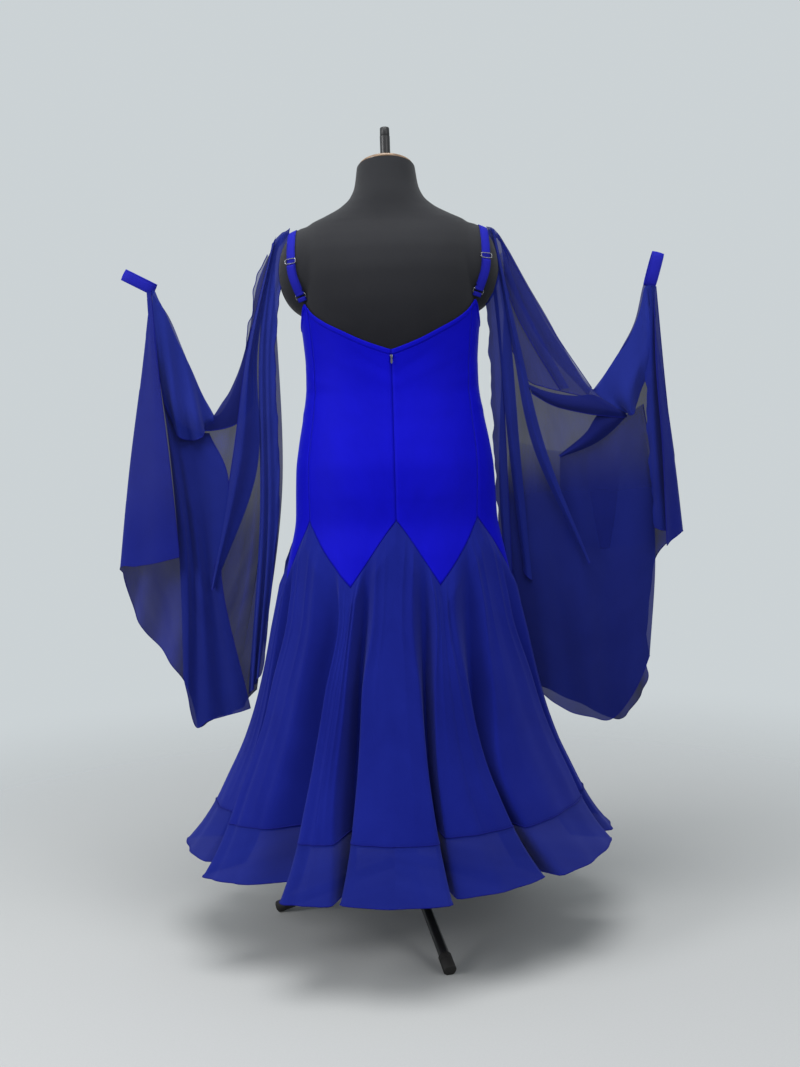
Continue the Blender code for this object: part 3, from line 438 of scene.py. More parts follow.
def grid_piece(name, points, finish, ring=False, thickness=0.0, offset=-1.0):
    rows, columns = points.shape[:2]
    closed = np.concatenate([points, points[:, :1]], 1) if ring else points
    u = np.concatenate([np.zeros((rows, 1)), np.cumsum(steps_along(closed, 1), 1)], 1)
    u -= u[:, u.shape[1] // 2][:, None]
    v = np.concatenate([np.zeros((1, closed.shape[1])), np.cumsum(steps_along(closed, 0), 0)], 0)
    r, c = np.meshgrid(np.arange(rows - 1), np.arange(closed.shape[1] - 1), indexing="ij")
    r, c = r.ravel(), c.ravel()
    corners = ((r, c), (r, c + 1), (r + 1, c + 1), (r + 1, c))
    faces = np.stack([row * columns + column % columns for row, column in corners], 1)
    uv = np.stack([np.stack([u[k], v[k]], -1) for k in corners], 1)
    made = new_piece(name, points, faces.tolist(), finish, uv)
    if thickness:
        wall = made.modifiers.new("wall", "SOLIDIFY")
        wall.thickness = thickness
        wall.offset = offset
    return made


# %% Turned, swept and joined meshes
def full_turn(count):
    return np.linspace(0, 2 * pi, count, endpoint=False)


def quads(rings, across, close_rings, close_across):
    """Faces between neighbouring rings of so many points each."""
    return [(k * across + p, k * across + (p + 1) % across,
             (k + 1) % rings * across + (p + 1) % across, (k + 1) % rings * across + p)
            for k in range(rings if close_rings else rings - 1)
            for p in range(across if close_across else across - 1)]


def turned(name, profile, finish, segments=64, place=(0, 0, 0), axis=(0, 0, 1)):
    """A closed profile of radius and height, turned round an axis."""
    ring = full_turn(segments)
    profile = np.array(profile, float)
    points = np.stack([np.outer(np.sin(ring), profile[:, 0]), np.outer(np.cos(ring), profile[:, 0]),
                       np.tile(profile[:, 1], (segments, 1))], -1)
    made = new_piece(name, points, quads(segments, len(profile), True, True), finish)
    sharpen(made)
    made.location = place
    made.rotation_mode = "QUATERNION"
    made.rotation_quaternion = Vector(axis).to_track_quat("Z", "Y")
    return made


def sharpen(piece, degrees=35):
    piece.data.set_sharp_from_angle(angle=radians(degrees))


def rounded_profile(inner, outer, low, high, edge):
    """A tube's wall with its outer edges rounded."""
    bend = [(sin(a), cos(a)) for a in np.linspace(0, pi / 2, 5)]
    top = [(outer - edge + edge * s, high - edge + edge * c) for s, c in bend]
    bottom = [(outer - edge + edge * s, low + edge - edge * c) for s, c in bend[::-1]]
    return [(inner, high), *top, *bottom, (inner, low)]


def unit_rows(rows, least=1e-9):
    """Vectors scaled to length one."""
    return rows / np.maximum(np.linalg.norm(rows, axis=-1), least)[..., None]


def tube_mesh(points, radius, sides, closed=False):
    """Rings of a tube along points, with faces, as arrays."""
    points = np.asarray(points, float)
    ahead = np.roll(points, -1, 0) - np.roll(points, 1, 0)
    if not closed:
        ahead[0] = points[1] - points[0]
        ahead[-1] = points[-1] - points[-2]
    ahead = unit_rows(ahead)
    normal = np.cross(ahead[0], (0.31, 0.52, 0.79))
    turn = full_turn(sides)
    rings = []
    for point, way in zip(points, ahead):
        normal = normal - way * normal.dot(way)
        normal /= np.linalg.norm(normal)
        rings.append(point + radius * (np.outer(np.cos(turn), normal)
                                       + np.outer(np.sin(turn), np.cross(way, normal))))
    count = len(points)
    faces = quads(count, sides, closed, True)
    if not closed:
        faces.append(tuple(range(sides))[::-1])
        faces.append(tuple((count - 1) * sides + s for s in range(sides)))
    return np.concatenate(rings), faces


def joined(parts):
    """Several meshes, each of points and faces, as one."""
    points, faces, base = [], [], 0
    for more, sides_of in parts:
        points.append(more)
        faces += [tuple(i + base for i in f) for f in sides_of]
        base += len(more)
    return np.concatenate(points), faces


def tubes_piece(name, runs, radius, finish, sides=6, closed=False):
    """Several tubes in one piece."""
    points, faces = joined(tube_mesh(run, radius, sides, closed) for run in runs)
    return new_piece(name, points, faces, finish)


def settle(piece, body, slot, *nodes):
    """Ties a finished piece to its body and hides the CAD parts that it replaces; slot is not used.
    """
    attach(piece, body)
    if nodes:
        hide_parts(*nodes)
    return piece


# %% Stitches
def stitched(name, points, normals, radius, sides, length=0.0022, gap=0.0010, lift=0.00025):
    """A seam's stitches: short bent runs of thread along its points."""
    points = np.asarray(points, float)
    along = np.concatenate([[0], np.cumsum(steps_along(points, 0))])
    runs = []
    for start in np.arange(0, along[-1] - length, length + gap):
        at = start + length * np.array([0, 0.2, 0.5, 0.8, 1.0])
        rise = lift * np.array([-0.8, 0.6, 1.0, 0.6, -0.8])[:, None]
        run, out = (np.stack([np.interp(at, along, rows[:, k]) for k in range(3)], 1)
                    for rows in (points, normals))
        runs.append(run + out * rise)
    return settle(tubes_piece(name, runs, radius, thread_blue, sides), "figure", "jersey")


# %% [markdown]
# ## Curves through tables
# The form and the skirt are given by sections at a few heights.  A monotone cubic passes
# through such a table without bulging past its values, and a Catmull-Rom spline carries the
# hang lines of the floats.

# %% Bump, table lookup and spline
def hermite(a, b, leaving, arriving, f):
    """A cubic from a to b with the given changes at its ends."""
    return (a * (2 * f**3 - 3 * f**2 + 1) + leaving * (f**3 - 2 * f**2 + f)
            + b * (3 * f**2 - 2 * f**3) + arriving * (f**3 - f**2))


def bump(distance, height, width):
    """A soft round bump, or a dip where the height is negative."""
    return height * np.exp(-(distance / width) ** 2)


def tangents(slope):
    """Slopes at the rows of a table that never overshoot, from the slopes between them."""
    product = slope[:-1] * slope[1:]
    total = np.where(product > 0, slope[:-1] + slope[1:], 1.0)
    inner = np.where(product > 0, 2 * product / total, 0.0)
    return np.concatenate([slope[:1], inner, slope[-1:]])


def lookup(table, key):
    rows = np.array(sorted(table), float)
    keys = rows[:, 0]
    values = rows[:, 1:]
    key = np.clip(np.asarray(key, float), keys[0], keys[-1])
    span = np.diff(keys)
    tangent = tangents(np.diff(values, axis=0) / span[:, None])
    i = np.clip(np.searchsorted(keys, key, side="right") - 1, 0, len(keys) - 2)
    f = ((key - keys[i]) / span[i])[..., None]
    w = span[i][..., None]
    return hermite(values[i], values[i + 1], tangent[i] * w, tangent[i + 1] * w, f)


def spline(points, t):
    """Catmull-Rom through evenly numbered points, at any places along them."""
    points = np.asarray(points, float)
    t = np.asarray(t, float)
    last = len(points) - 1
    ends = np.concatenate([2 * points[:1] - points[1:2], points, 2 * points[-1:] - points[-2:-1]])
    i = np.clip(np.floor(t).astype(int), 0, last - 1)
    f = (t - i).reshape(t.shape + (1,) * (points.ndim - 1))
    before, here, there, after = (ends[i + k] for k in range(4))
    return hermite(here, there, (there - before) / 2, (after - here) / 2, f)


# %% [markdown]
# ## The form's sections and the dress over them
# Each section of the form is a rounded oval with its own depth to the back and the front.
# The dress lies just outside it, and below the hips it hangs in fourteen flat lobes with
# narrow valleys between them, whose lines wander apart on their way to the hem.

# %% Sections
FABRIC = 0.0012
BODY_EASE = 0.0026
BODY_POWER = 2.25
NECK_TOP = 1.388
NECK_BASE = 1.322
NECK_LEAN = 0.31
TORSO_BOTTOM = 0.600
TORSO = (
    (0.600, 0.1660, 0.120, 0.112), (0.700, 0.1760, 0.128, 0.118), (0.780, 0.1795, 0.131, 0.120),
    (0.850, 0.1770, 0.127, 0.118), (0.900, 0.1700, 0.116, 0.112), (0.950, 0.1605, 0.103, 0.106),
    (1.000, 0.1535, 0.094, 0.104), (1.040, 0.1525, 0.092, 0.112), (1.080, 0.1550, 0.094, 0.127),
    (1.120, 0.1590, 0.098, 0.132), (1.160, 0.1625, 0.101, 0.122), (1.200, 0.1655, 0.100, 0.104),
    (1.240, 0.1650, 0.091, 0.086), (1.265, 0.1610, 0.079, 0.072), (1.282, 0.1530, 0.069, 0.061),
    (1.295, 0.1400, 0.062, 0.054), (1.308, 0.1130, 0.058, 0.050), (1.322, 0.0860, 0.056, 0.049),
    (1.338, 0.0670, 0.055, 0.049), (1.358, 0.0575, 0.053, 0.049), (1.388, 0.0525, 0.0515, 0.0495),
)
PEAK_Z = 0.765
POINT_Z = 0.653
HEM_Z = 0.165
BAND_HEIGHT = 0.098
UNITS = 7
FLUTES = 14
COLUMN_PLACES = (0, 0.19, 0.375, 0.46, 0.54, 0.625, 0.81, 1)
STRAIGHT_Z = 1.060
SKIRT = (
    (0.800, 0.1830, 0.1340, 0.1230, 0.000), (0.765, 0.1845, 0.1355, 0.1245, 0.000),
    (0.700, 0.1975, 0.1530, 0.1430, 0.001), (0.600, 0.2185, 0.1830, 0.1760, 0.016),
    (0.500, 0.2415, 0.2180, 0.2130, 0.033), (0.420, 0.2640, 0.2480, 0.2450, 0.045),
    (0.350, 0.2900, 0.2810, 0.2790, 0.055), (0.290, 0.3180, 0.3130, 0.3120, 0.063),
    (0.240, 0.3430, 0.3400, 0.3400, 0.070), (0.200, 0.3680, 0.3650, 0.3650, 0.077),
    (0.165, 0.3960, 0.3930, 0.3930, 0.082),
)
LEVELS = (0.765, 0.600, 0.470, 0.345, 0.165)
LOBE_EDGE = 0.375          # share of a flute from a lobe's middle to its edge
VALLEY_EDGES = (0.46, 0.54)  # shares of a flute where the floor of a valley begins and ends
VALLEY_FLOOR = 1.3         # degrees between the two
ROUNDING = 1.0             # degrees over which a fold's edge is rounded
BACK_LOBES = {
    0: ((-7.6, 0.0, 7.6), (-4.0, 2.6, 9.4), (-6.6, 4.0, 14.6), (-8.1, 3.5, 15.3),
        (-11.5, 3.0, 17.7)),
    1: ((13.1, 21.0, 33.8), (19.3, 21.6, 24.8), (21.8, 25.2, 29.7), (23.3, 27.2, 31.5),
        (18.8, 26.0, 31.8)),
    2: ((42.3, 55.0, 64.0), (42.7, 52.0, 58.3), (47.7, 58.0, 65.1), (50.4, 60.0, 66.0),
        (51.4, 57.0, 61.2)),
    3: ((70.0, 79.0, 88.0), (72.0, 78.0, 84.0), (74.0, 81.0, 88.0), (74.0, 82.0, 90.0),
        (72.5, 83.0, 94.0)),
    12: ((300.0, 311.1, 321.9), (300.2, 309.0, 319.0), (288.3, 303.0, 319.7),
         (281.7, 300.0, 324.0), (278.1, 297.0, 314.0)),
    13: ((329.0, 339.8, 347.4), (337.6, 341.5, 344.8), (332.8, 340.0, 347.5),
         (327.3, 338.0, 348.6), (316.8, 332.0, 347.2)),
}
FRONT_LOBES = {
    4: (102.9, 107.5), 5: (128.6, 129.5), 6: (154.3, 151.5), 7: (180.0, 174.0),
    8: (205.7, 196.5), 9: (231.4, 219.0), 10: (257.1, 241.5), 11: (280.0, 262.5),
}
FRONT_HALF_WIDTHS = (9.6, 6.5, 7.5, 8.2, 8.4)
HEM_REACH = {
    0: (-0.022, -0.018, -0.028), 1: (-0.021, -0.006, -0.003), 2: (-0.021, -0.002, 0.008),
    3: (-0.016, 0.005, 0.019), 12: (-0.014, -0.028, -0.038), 13: (-0.056, -0.046, -0.047),
}
FRONT_REACH = (-0.010, -0.006, -0.010)
VALLEY_SHARES = {0: 0.6, 1: 0.28, 12: 0.30, 13: 0.40}
TOP_AZIMUTHS = (
    (0, 0), (25.714, 25.7), (51.429, 61.5), (77.143, 81.0), (102.857, 102.857),
    (257.143, 257.143), (282.857, 279.0), (308.571, 298.5), (334.286, 334.3), (360, 360),
)
TOP_EDGE = (
    (0, 1.063), (15, 1.080), (30, 1.099), (45, 1.117), (55, 1.131), (61, 1.142), (65, 1.150),
    (69, 1.146), (76, 1.128), (84, 1.1155), (90, 1.113), (100, 1.118), (112, 1.140), (124, 1.174),
    (131, 1.192), (138, 1.193), (146, 1.182), (160, 1.168), (180, 1.162),
)


# %% Points on the form and the dress
def signed_power(value, power):
    return np.abs(value) ** power * np.where(value >= 0, 1, -1)


def oval(t, half_width, back, front, power):
    c = np.cos(t)
    return (half_width * signed_power(np.sin(t), 2 / power),
            np.where(c > 0, back, front) * signed_power(c, 2 / power))


def body_points(t, z, lift=0.0):
    t, z = np.broadcast_arrays(np.asarray(t, float), np.asarray(z, float))
    wide, back, front = np.moveaxis(lookup(TORSO, z), -1, 0)
    x, y = oval(t, wide + lift, back + lift, front + lift, BODY_POWER)
    return np.stack([x, y, z], -1)


def lobe(index):
    """A lobe's start, middle and end in degrees at each level; the count goes on past a turn."""
    whole, index = divmod(index, FLUTES)
    if index in BACK_LOBES:
        return np.array(BACK_LOBES[index]) + 360 * whole
    above, below = FRONT_LOBES[index]
    levels = np.array(LEVELS)
    middle = above + (below - above) * (levels[0] - levels) / (levels[0] - levels[-1])
    half = np.array(FRONT_HALF_WIDTHS)
    return np.stack([middle - half, middle, middle + half], 1) + 360 * whole


def fold_lines():
    """The fold lines: place in degrees, azimuth at each level, reach at the hem, valley share."""
    lines = []
    for k in range(-1, FLUTES + 1):
        here = lobe(k)
        after = lobe(k + 1)
        share = VALLEY_SHARES.get(k % FLUTES, 0.5)
        valley = here[:, 2] + (after[:, 0] - here[:, 2]) * share
        start, middle, end = HEM_REACH.get(k % FLUTES, FRONT_REACH)
        between = (end + HEM_REACH.get((k + 1) % FLUTES, FRONT_REACH)[0]) / 2
        half = VALLEY_FLOOR / 2
        for place, azimuths, reach, into in (
                (-LOBE_EDGE, here[:, 0], start, 0), (0, here[:, 1], middle, 0),
                (LOBE_EDGE, here[:, 2], end, 0),
                (VALLEY_EDGES[0], valley - half, between, 1),
                (VALLEY_EDGES[1], valley + half, between, 1)):
            lines.append(((k + place) * 360 / FLUTES, *azimuths, reach, into))
    return np.array(lines)


FOLD_LINES = fold_lines()


def fold_at(t):
    """Azimuths at the levels, reach and valley share of any lines, with rounded fold edges."""
    turn = np.degrees(t) % 360
    total = 0
    for step, weight in ((-ROUNDING, 0.25), (0.0, 0.5), (ROUNDING, 0.25)):
        total = total + weight * np.array([
            np.interp(turn + step, FOLD_LINES[:, 0], column) for column in FOLD_LINES.T[1:]])
    return total


def on_levels(values, z):
    """The same monotone cubic through values at the levels, for each line its own."""
    keys = np.array(LEVELS[::-1])
    values = values[::-1]
    tangent = tangents(np.diff(values, axis=0) / np.diff(keys).reshape(-1, *[1] * np.ndim(z)))
    z = np.clip(z, keys[0], keys[-1])
    i = np.clip(np.searchsorted(keys, z, side="right") - 1, 0, len(keys) - 2)
    span = keys[i + 1] - keys[i]
    a, b, m, n = (np.take_along_axis(rows, (i + k)[None], 0)[0]
                  for rows, k in ((values, 0), (values, 1), (tangent, 0), (tangent, 1)))
    return hermite(a, b, m * span, n * span, (z - keys[i]) / span)


def top_azimuth(t):
    return np.interp(np.degrees(t) % 360, *zip(*TOP_AZIMUTHS))


def azimuth_at(t, z):
    """The azimuth parameter in radians that a line of the dress has at a height."""
    t, z = np.broadcast_arrays(np.asarray(t, float), np.asarray(z, float))
    azimuths = fold_at(t)[:len(LEVELS)]
    share = np.clip((z - LEVELS[0]) / (STRAIGHT_Z - LEVELS[0]), 0, 1)
    high = azimuths[0] + (top_azimuth(t) - azimuths[0]) * share
    return np.radians(np.where(z > LEVELS[0], high, on_levels(azimuths, z)))


def dress_points(t, z, lift=0.0):
    """Points on the outer face of the dress; below the hips they follow the lobes."""
    t, z, lift = np.broadcast_arrays(*(np.asarray(a, float) for a in (t, z, lift)))
    azimuth = azimuth_at(t, z)
    wide, deep, fore, fold = np.moveaxis(lookup(SKIRT, z), -1, 0)
    level = np.clip((PEAK_Z - z) / (PEAK_Z - HEM_Z), 0, 1)
    reach, into = fold_at(t)[len(LEVELS):]
    shift = reach * level**1.5 - fold * into**2 * (3 - 2 * into) + lift
    x, y = oval(azimuth, wide + shift, deep + shift, fore + shift, BODY_POWER - 0.25 * level)
    high = body_points(azimuth, z, BODY_EASE + FABRIC + lift)
    return np.where((z >= SKIRT[0][0])[..., None], high, np.stack([x, y, z], -1))


def zigzag(t):
    """Height of the seam between bodice and gores, straight between its peaks and points."""
    unit = 360 / UNITS
    turn = (np.degrees(np.asarray(t, float)) % 360) / unit
    peak = np.round(turn)
    peak_at = azimuth_at(np.radians(peak % UNITS * unit), PEAK_Z) + 2 * pi * (peak == UNITS)
    point_at = azimuth_at(np.radians((np.floor(turn) + 0.5) * unit), POINT_Z)
    z = PEAK_Z + (POINT_Z - PEAK_Z) * np.abs(turn - peak) * 2
    for _ in range(12):
        share = (azimuth_at(t, z) - peak_at) / (point_at - peak_at)
        z = PEAK_Z + (POINT_Z - PEAK_Z) * np.clip(share, 0, 1)
    return z


def columns(start, count, fine):
    """Azimuth parameters from the middle of one lobe to that of another, close at the folds."""
    steps = np.linspace(0, len(COLUMN_PLACES) - 1, (len(COLUMN_PLACES) - 1) * fine + 1)[:-1]
    places = np.interp(steps, np.arange(len(COLUMN_PLACES)), COLUMN_PLACES)
    inner = (start + np.arange(count)[:, None] + places).ravel()
    return 2 * pi / FLUTES * np.append(inner, start + count)


def top_edge(t):
    return lookup(TOP_EDGE, np.abs((top_azimuth(t) + 180) % 360 - 180))[..., 0]


def band_top(t):
    """Height at which the cloth is one band height up from the hem."""
    t = np.atleast_1d(t)
    heights = np.linspace(HEM_Z, HEM_Z + 0.12, 61)
    points = dress_points(t[None, :], heights[:, None])
    along = np.concatenate([np.zeros((1, len(t))), np.cumsum(steps_along(points, 0), 0)])
    return np.array([np.interp(BAND_HEIGHT, along[:, k], heights) for k in range(len(t))])


print("waist half width", round(float(lookup(TORSO, 1.04)[0]), 4))

# %% [markdown]
# ## The stand
# The form stands on a black steel tripod.  A pole runs up through the torso and out of the
# neck, a collar with a thumbscrew holds the torso on it, and three straight legs end in rubber
# sleeves.  All of them are turned parts, so a profile and an axis describe each one.

# %% Pole, hub and legs
POLE_RADIUS = 0.009
TOTAL_HEIGHT = 1.465
HUB_Z = 0.112
HUB_RADIUS = 0.021
LEG_RADIUS = 0.0095
FOOT_AZIMUTHS = (-15.0, 105.0, 225.0)
FOOT_RING = 0.262
FOOT_RISE = 0.0085
FOOT_RADIUS = 0.0115
FOOT_LENGTH = 0.034


def make_stand():
    cap = TOTAL_HEIGHT - 0.016
    pole = turned("pole", [
        (0.0001, TOTAL_HEIGHT), (0.0050, TOTAL_HEIGHT - 0.0002), (0.0074, TOTAL_HEIGHT - 0.0012),
        (0.0084, TOTAL_HEIGHT - 0.0030), (0.0086, cap + 0.0010), (0.0080, cap),
        (0.0090, cap - 0.0006), (POLE_RADIUS, cap - 0.0020), (POLE_RADIUS, HUB_Z - 0.019),
        (0.0001, HUB_Z - 0.020)], painted_steel)
    settle(pole, "stand", "black_metal", "stand_pole")
    hub = turned("tripod_hub", rounded_profile(
        POLE_RADIUS + 0.0003, HUB_RADIUS, HUB_Z - 0.024, HUB_Z + 0.026, 0.003), painted_steel)
    settle(hub, "stand", "black_metal", "stand_hub")
    for number, azimuth in enumerate(FOOT_AZIMUTHS, 1):
        make_leg(number, Vector((sin(radians(azimuth)), cos(radians(azimuth)), 0)))


def make_leg(number, out):
    up = Vector((0, 0, 1))
    high = out * (HUB_RADIUS + 0.0035) + up * HUB_Z
    low = out * FOOT_RING + up * FOOT_RISE
    length = (high - low).length
    start = FOOT_LENGTH - 0.008
    leg = turned(f"tripod_leg_{number}", [
        (0.0001, length), (0.0080, length), (LEG_RADIUS, length - 0.0014),
        (LEG_RADIUS, start), (0.0001, start)], painted_steel, 48, low, high - low)
    settle(leg, "stand", "black_metal", f"stand_leg_{number}")
    sleeve = turned(f"rubber_sleeve_{number}", [
        (LEG_RADIUS, FOOT_LENGTH), (FOOT_RADIUS - 0.0006, FOOT_LENGTH),
        (FOOT_RADIUS, FOOT_LENGTH - 0.0006), (FOOT_RADIUS, 0.0240), (FOOT_RADIUS - 0.0007, 0.0236),
        (FOOT_RADIUS - 0.0007, 0.0218), (FOOT_RADIUS, 0.0214), (FOOT_RADIUS, 0.0022),
        (FOOT_RADIUS - 0.0008, 0.0007), (FOOT_RADIUS - 0.0028, 0.0), (0.0001, 0.0),
        (0.0001, 0.0240), (LEG_RADIUS, 0.0240)], black_rubber, 48, low, high - low)
    flatten_on_floor(sleeve)
    settle(sleeve, "stand", "rubber", f"stand_foot_{number}")
    bolt = turned(f"leg_bolt_{number}", [
        (0.0001, 0.0030), (0.0022, 0.0029), (0.0036, 0.0022), (0.0042, 0.0008), (0.0042, 0.0),
        (0.0001, 0.0)], painted_steel, 32,
        out * (HUB_RADIUS - 0.0002) + up * (HUB_Z + 0.0150), out)
    settle(bolt, "stand", "black_metal")


def flatten_on_floor(piece):
    """Presses the part of a turned piece that would be under the floor flat on it."""
    place = Matrix.LocRotScale(piece.location, piece.rotation_quaternion, None)
    back = place.inverted()
    for corner in piece.data.vertices:
        point = place @ corner.co
        if point.z < 0:
            corner.co = back @ Vector((point.x, point.y, 0))


make_stand()

# %% Collar and thumbscrew
COLLAR_TOP = TORSO_BOTTOM - 0.0004
COLLAR_HEIGHT = 0.024


def make_collar():
    sleeve = turned("height_collar", rounded_profile(
        POLE_RADIUS + 0.0004, 0.022, COLLAR_TOP - COLLAR_HEIGHT, COLLAR_TOP, 0.002), painted_steel)
    settle(sleeve, "collar", "black_metal", "stand_collar")
    middle = COLLAR_TOP - COLLAR_HEIGHT / 2
    ring = full_turn(72)
    ridges = 0.0042 + 0.0003 * np.cos(18 * ring)
    profile = [(0.0223, 0.62), (0.0300, 0.62), (0.0304, 0.95), (0.0310, 1.0), (0.0450, 1.0),
               (0.0456, 0.94), (0.0460, 0.80), (0.0460, 0.02)]
    points = [[(along, r * share * np.cos(a), middle + r * share * np.sin(a))
               for a, r in zip(ring, ridges)] for along, share in profile]
    screw = grid_piece("thumbscrew", np.array(points)[:, ::-1], painted_steel, ring=True)
    sharpen(screw)
    settle(screw, "collar", "black_metal", "collar_screw")


make_collar()

# %% [markdown]
# ## The dress form
# The torso is padded and covered in black jersey, with short rounded stumps for shoulders.
# A fine loft of the sections gives the body.  The stumps are two egg shapes, melted into the
# loft with a smooth maximum, as upholstery rounds over a joint.

# %% Torso
def leaned(points):
    """Points of the neck, sheared so that its top slopes down to the front."""
    points = np.array(points, float)
    share = np.clip((points[..., 2] - NECK_BASE) / (NECK_TOP - NECK_BASE), 0, 1)
    points[..., 2] += NECK_LEAN * points[..., 1] * share
    return points


TORSO_BORE = 0.0125
STUMP = (0.140, 1.210, 0.060, 0.058, 0.082)
MELT = 0.004


def stump_reach(x_way, y_way, z):
    """How far a ray from the axis goes before it leaves a shoulder stump."""
    aside, level, wide, deep, tall = STUMP
    scale = np.sqrt(np.clip(1 - ((z - level) / tall) ** 2, 0, 1))
    a = np.maximum(wide * scale, 1e-6)
    b = np.maximum(deep * scale, 1e-6)
    p = (x_way / a) ** 2 + (y_way / b) ** 2
    q = -2 * np.abs(x_way) * aside / a**2
    s = aside**2 / a**2 - 1
    under = q**2 - 4 * p * s
    far = (-q + np.sqrt(np.maximum(under, 0))) / (2 * p)
    return np.where((under > 0) & (scale > 0), far, 0.0)


def make_torso():
    around = 160
    heights = np.concatenate([np.linspace(NECK_TOP, 1.27, 40), np.linspace(1.267, 1.12, 44),
                              np.linspace(1.115, TORSO_BOTTOM, 70)])
    t = full_turn(around)
    points = body_points(t[None, :], heights[:, None])
    reach = np.hypot(points[..., 0], points[..., 1])
    ways = points[..., :2] / reach[..., None]
    stump = stump_reach(ways[..., 0], ways[..., 1], points[..., 2])
    gap = np.clip(0.5 + (stump - reach) / (2 * MELT), 0, 1)
    melted = reach * (1 - gap) + stump * gap + MELT * gap * (1 - gap)
    points[..., :2] = ways * melted[..., None]
    bore = TORSO_BORE * np.stack([np.sin(t), np.cos(t)], -1)
    lids = [[np.column_stack([row[:, :2] + (bore - row[:, :2]) * share, row[:, 2]])
             for share in (0.55, 1.0)] for row in (points[0], points[-1])]
    whole = np.stack([lids[0][1], lids[0][0], *points, *lids[1], lids[0][1]])
    made = grid_piece("form_body", leaned(whole), form_jersey, ring=True)
    sharpen(made, 50)
    return settle(made, "figure", "form_cloth", "form_torso")


form_body = make_torso()
body_tree = BVHTree.FromPolygons([v.co.copy() for v in form_body.data.vertices],
                                 [tuple(p.vertices) for p in form_body.data.polygons])
print("form faces", len(form_body.data.polygons))

# %% [markdown]
# The neck is closed by a turned wooden disc with a shallow dome, varnished, with a bead round
# its edge.

# %% Neck cap
CAP_RADIUS = 0.0505


def make_neck_cap():
    base = NECK_TOP + 0.0003
    bore = POLE_RADIUS + 0.0006
    cap = turned("neck_cap", [
        (bore, base + 0.0122), (bore + 0.0008, base + 0.0125), (0.020, base + 0.0120),
        (0.030, base + 0.0107), (0.038, base + 0.0090), (0.044, base + 0.0071),
        (0.0462, base + 0.0066), (0.0470, base + 0.0059), (0.0482, base + 0.0060),
        (0.0496, base + 0.0052), (CAP_RADIUS, base + 0.0038), (CAP_RADIUS, base + 0.0012),
        (CAP_RADIUS - 0.0012, base), (bore, base)], cap_wood, 96)
    for corner in cap.data.vertices:
        corner.co.z += NECK_LEAN * (cap.rotation_quaternion @ corner.co).y
    settle(cap, "figure", "wood", "form_neck_cap")


make_neck_cap()

# %% [markdown]
# ## The bodice
# Seven jersey panels meet in plain seams that run from the neckline to the zigzag's peaks.
# Each panel is a fine grid on the dress surface.  It dips a little at its seams, rolls over at
# the neckline and carries a few long shallow creases, as stretch cloth does on a form.

# %% Bodice panels
SEAM = 0.0004
MEAN_RADIUS = 0.16         # turns an angle on the bodice into a distance
HEM_TURN = 0.014           # depth of the dense rows at the neckline
HEM_ROWS = 18
HEM_GROOVE = 0.0098        # how far below the edge the turned-in hem ends
HEM_LAYER = 0.0011         # how much the turned-in layer raises the cloth
LAYER_END = 0.0010         # how far above the groove that layer ends
LAYER_FADE = 0.0004
GROOVE = (-0.0005, 0.0008)  # height and width, as in the three below
NECK_ROLL = (-0.0006, 0.0014)
SEAM_DIP = (-0.0007, 0.0022)
SEAM_SWELL = (0.0004, 0.003)
SWELL_AT = 0.0060          # how far from a seam the cloth swells
PANEL_NAMES = ("back_left", "side_back_left", "side_front_left", "front",
               "side_front_right", "side_back_right", "back_right")


def crease(t, z, azimuth, height, width, length, lean, depth):
    """One soft crease: a long shallow ridge across a place on the bodice."""
    aside = (t - radians(azimuth)) * MEAN_RADIUS
    rise = z - height
    along = aside * cos(lean) + rise * sin(lean)
    across = -aside * sin(lean) + rise * cos(lean)
    return depth * np.exp(-(along / length) ** 2 - (across / width) ** 2)


CREASES = (
    (14, 1.045, 0.006, 0.050, 0.55, -0.0008), (20, 1.030, 0.007, 0.060, 0.45, 0.0007),
    (345, 1.045, 0.006, 0.050, 2.6, -0.0008), (338, 1.028, 0.007, 0.060, 2.7, 0.0007),
    (60, 1.020, 0.006, 0.060, 0.25, 0.0009), (62, 0.995, 0.006, 0.055, 0.10, -0.0009),
    (300, 1.020, 0.006, 0.060, 2.9, 0.0009), (298, 0.995, 0.006, 0.055, 3.0, -0.0009),
    (75, 0.960, 0.008, 0.060, -0.2, 0.0008), (285, 0.960, 0.008, 0.060, 3.3, 0.0008),
    (8, 0.800, 0.010, 0.050, 1.2, 0.0007), (352, 0.800, 0.010, 0.050, 1.9, 0.0007),
    (120, 1.060, 0.007, 0.050, 0.5, 0.0008), (240, 1.060, 0.007, 0.050, 2.6, 0.0008),
    (180, 1.010, 0.008, 0.060, 0.0, 0.0008), (160, 0.940, 0.008, 0.060, 0.3, -0.0007),
)


def bodice_lift(t, z, edge):
    """Stand-off of the jersey from its plain surface: seams dip, creases rise and fall."""
    lift = bump(edge, *SEAM_DIP) + bump(edge - SWELL_AT, *SEAM_SWELL)
    for row in CREASES:
        lift = lift + crease((t + pi) % (2 * pi) - pi if row[0] < 180 else t, z,
                             row[0], *row[1:])
    return lift


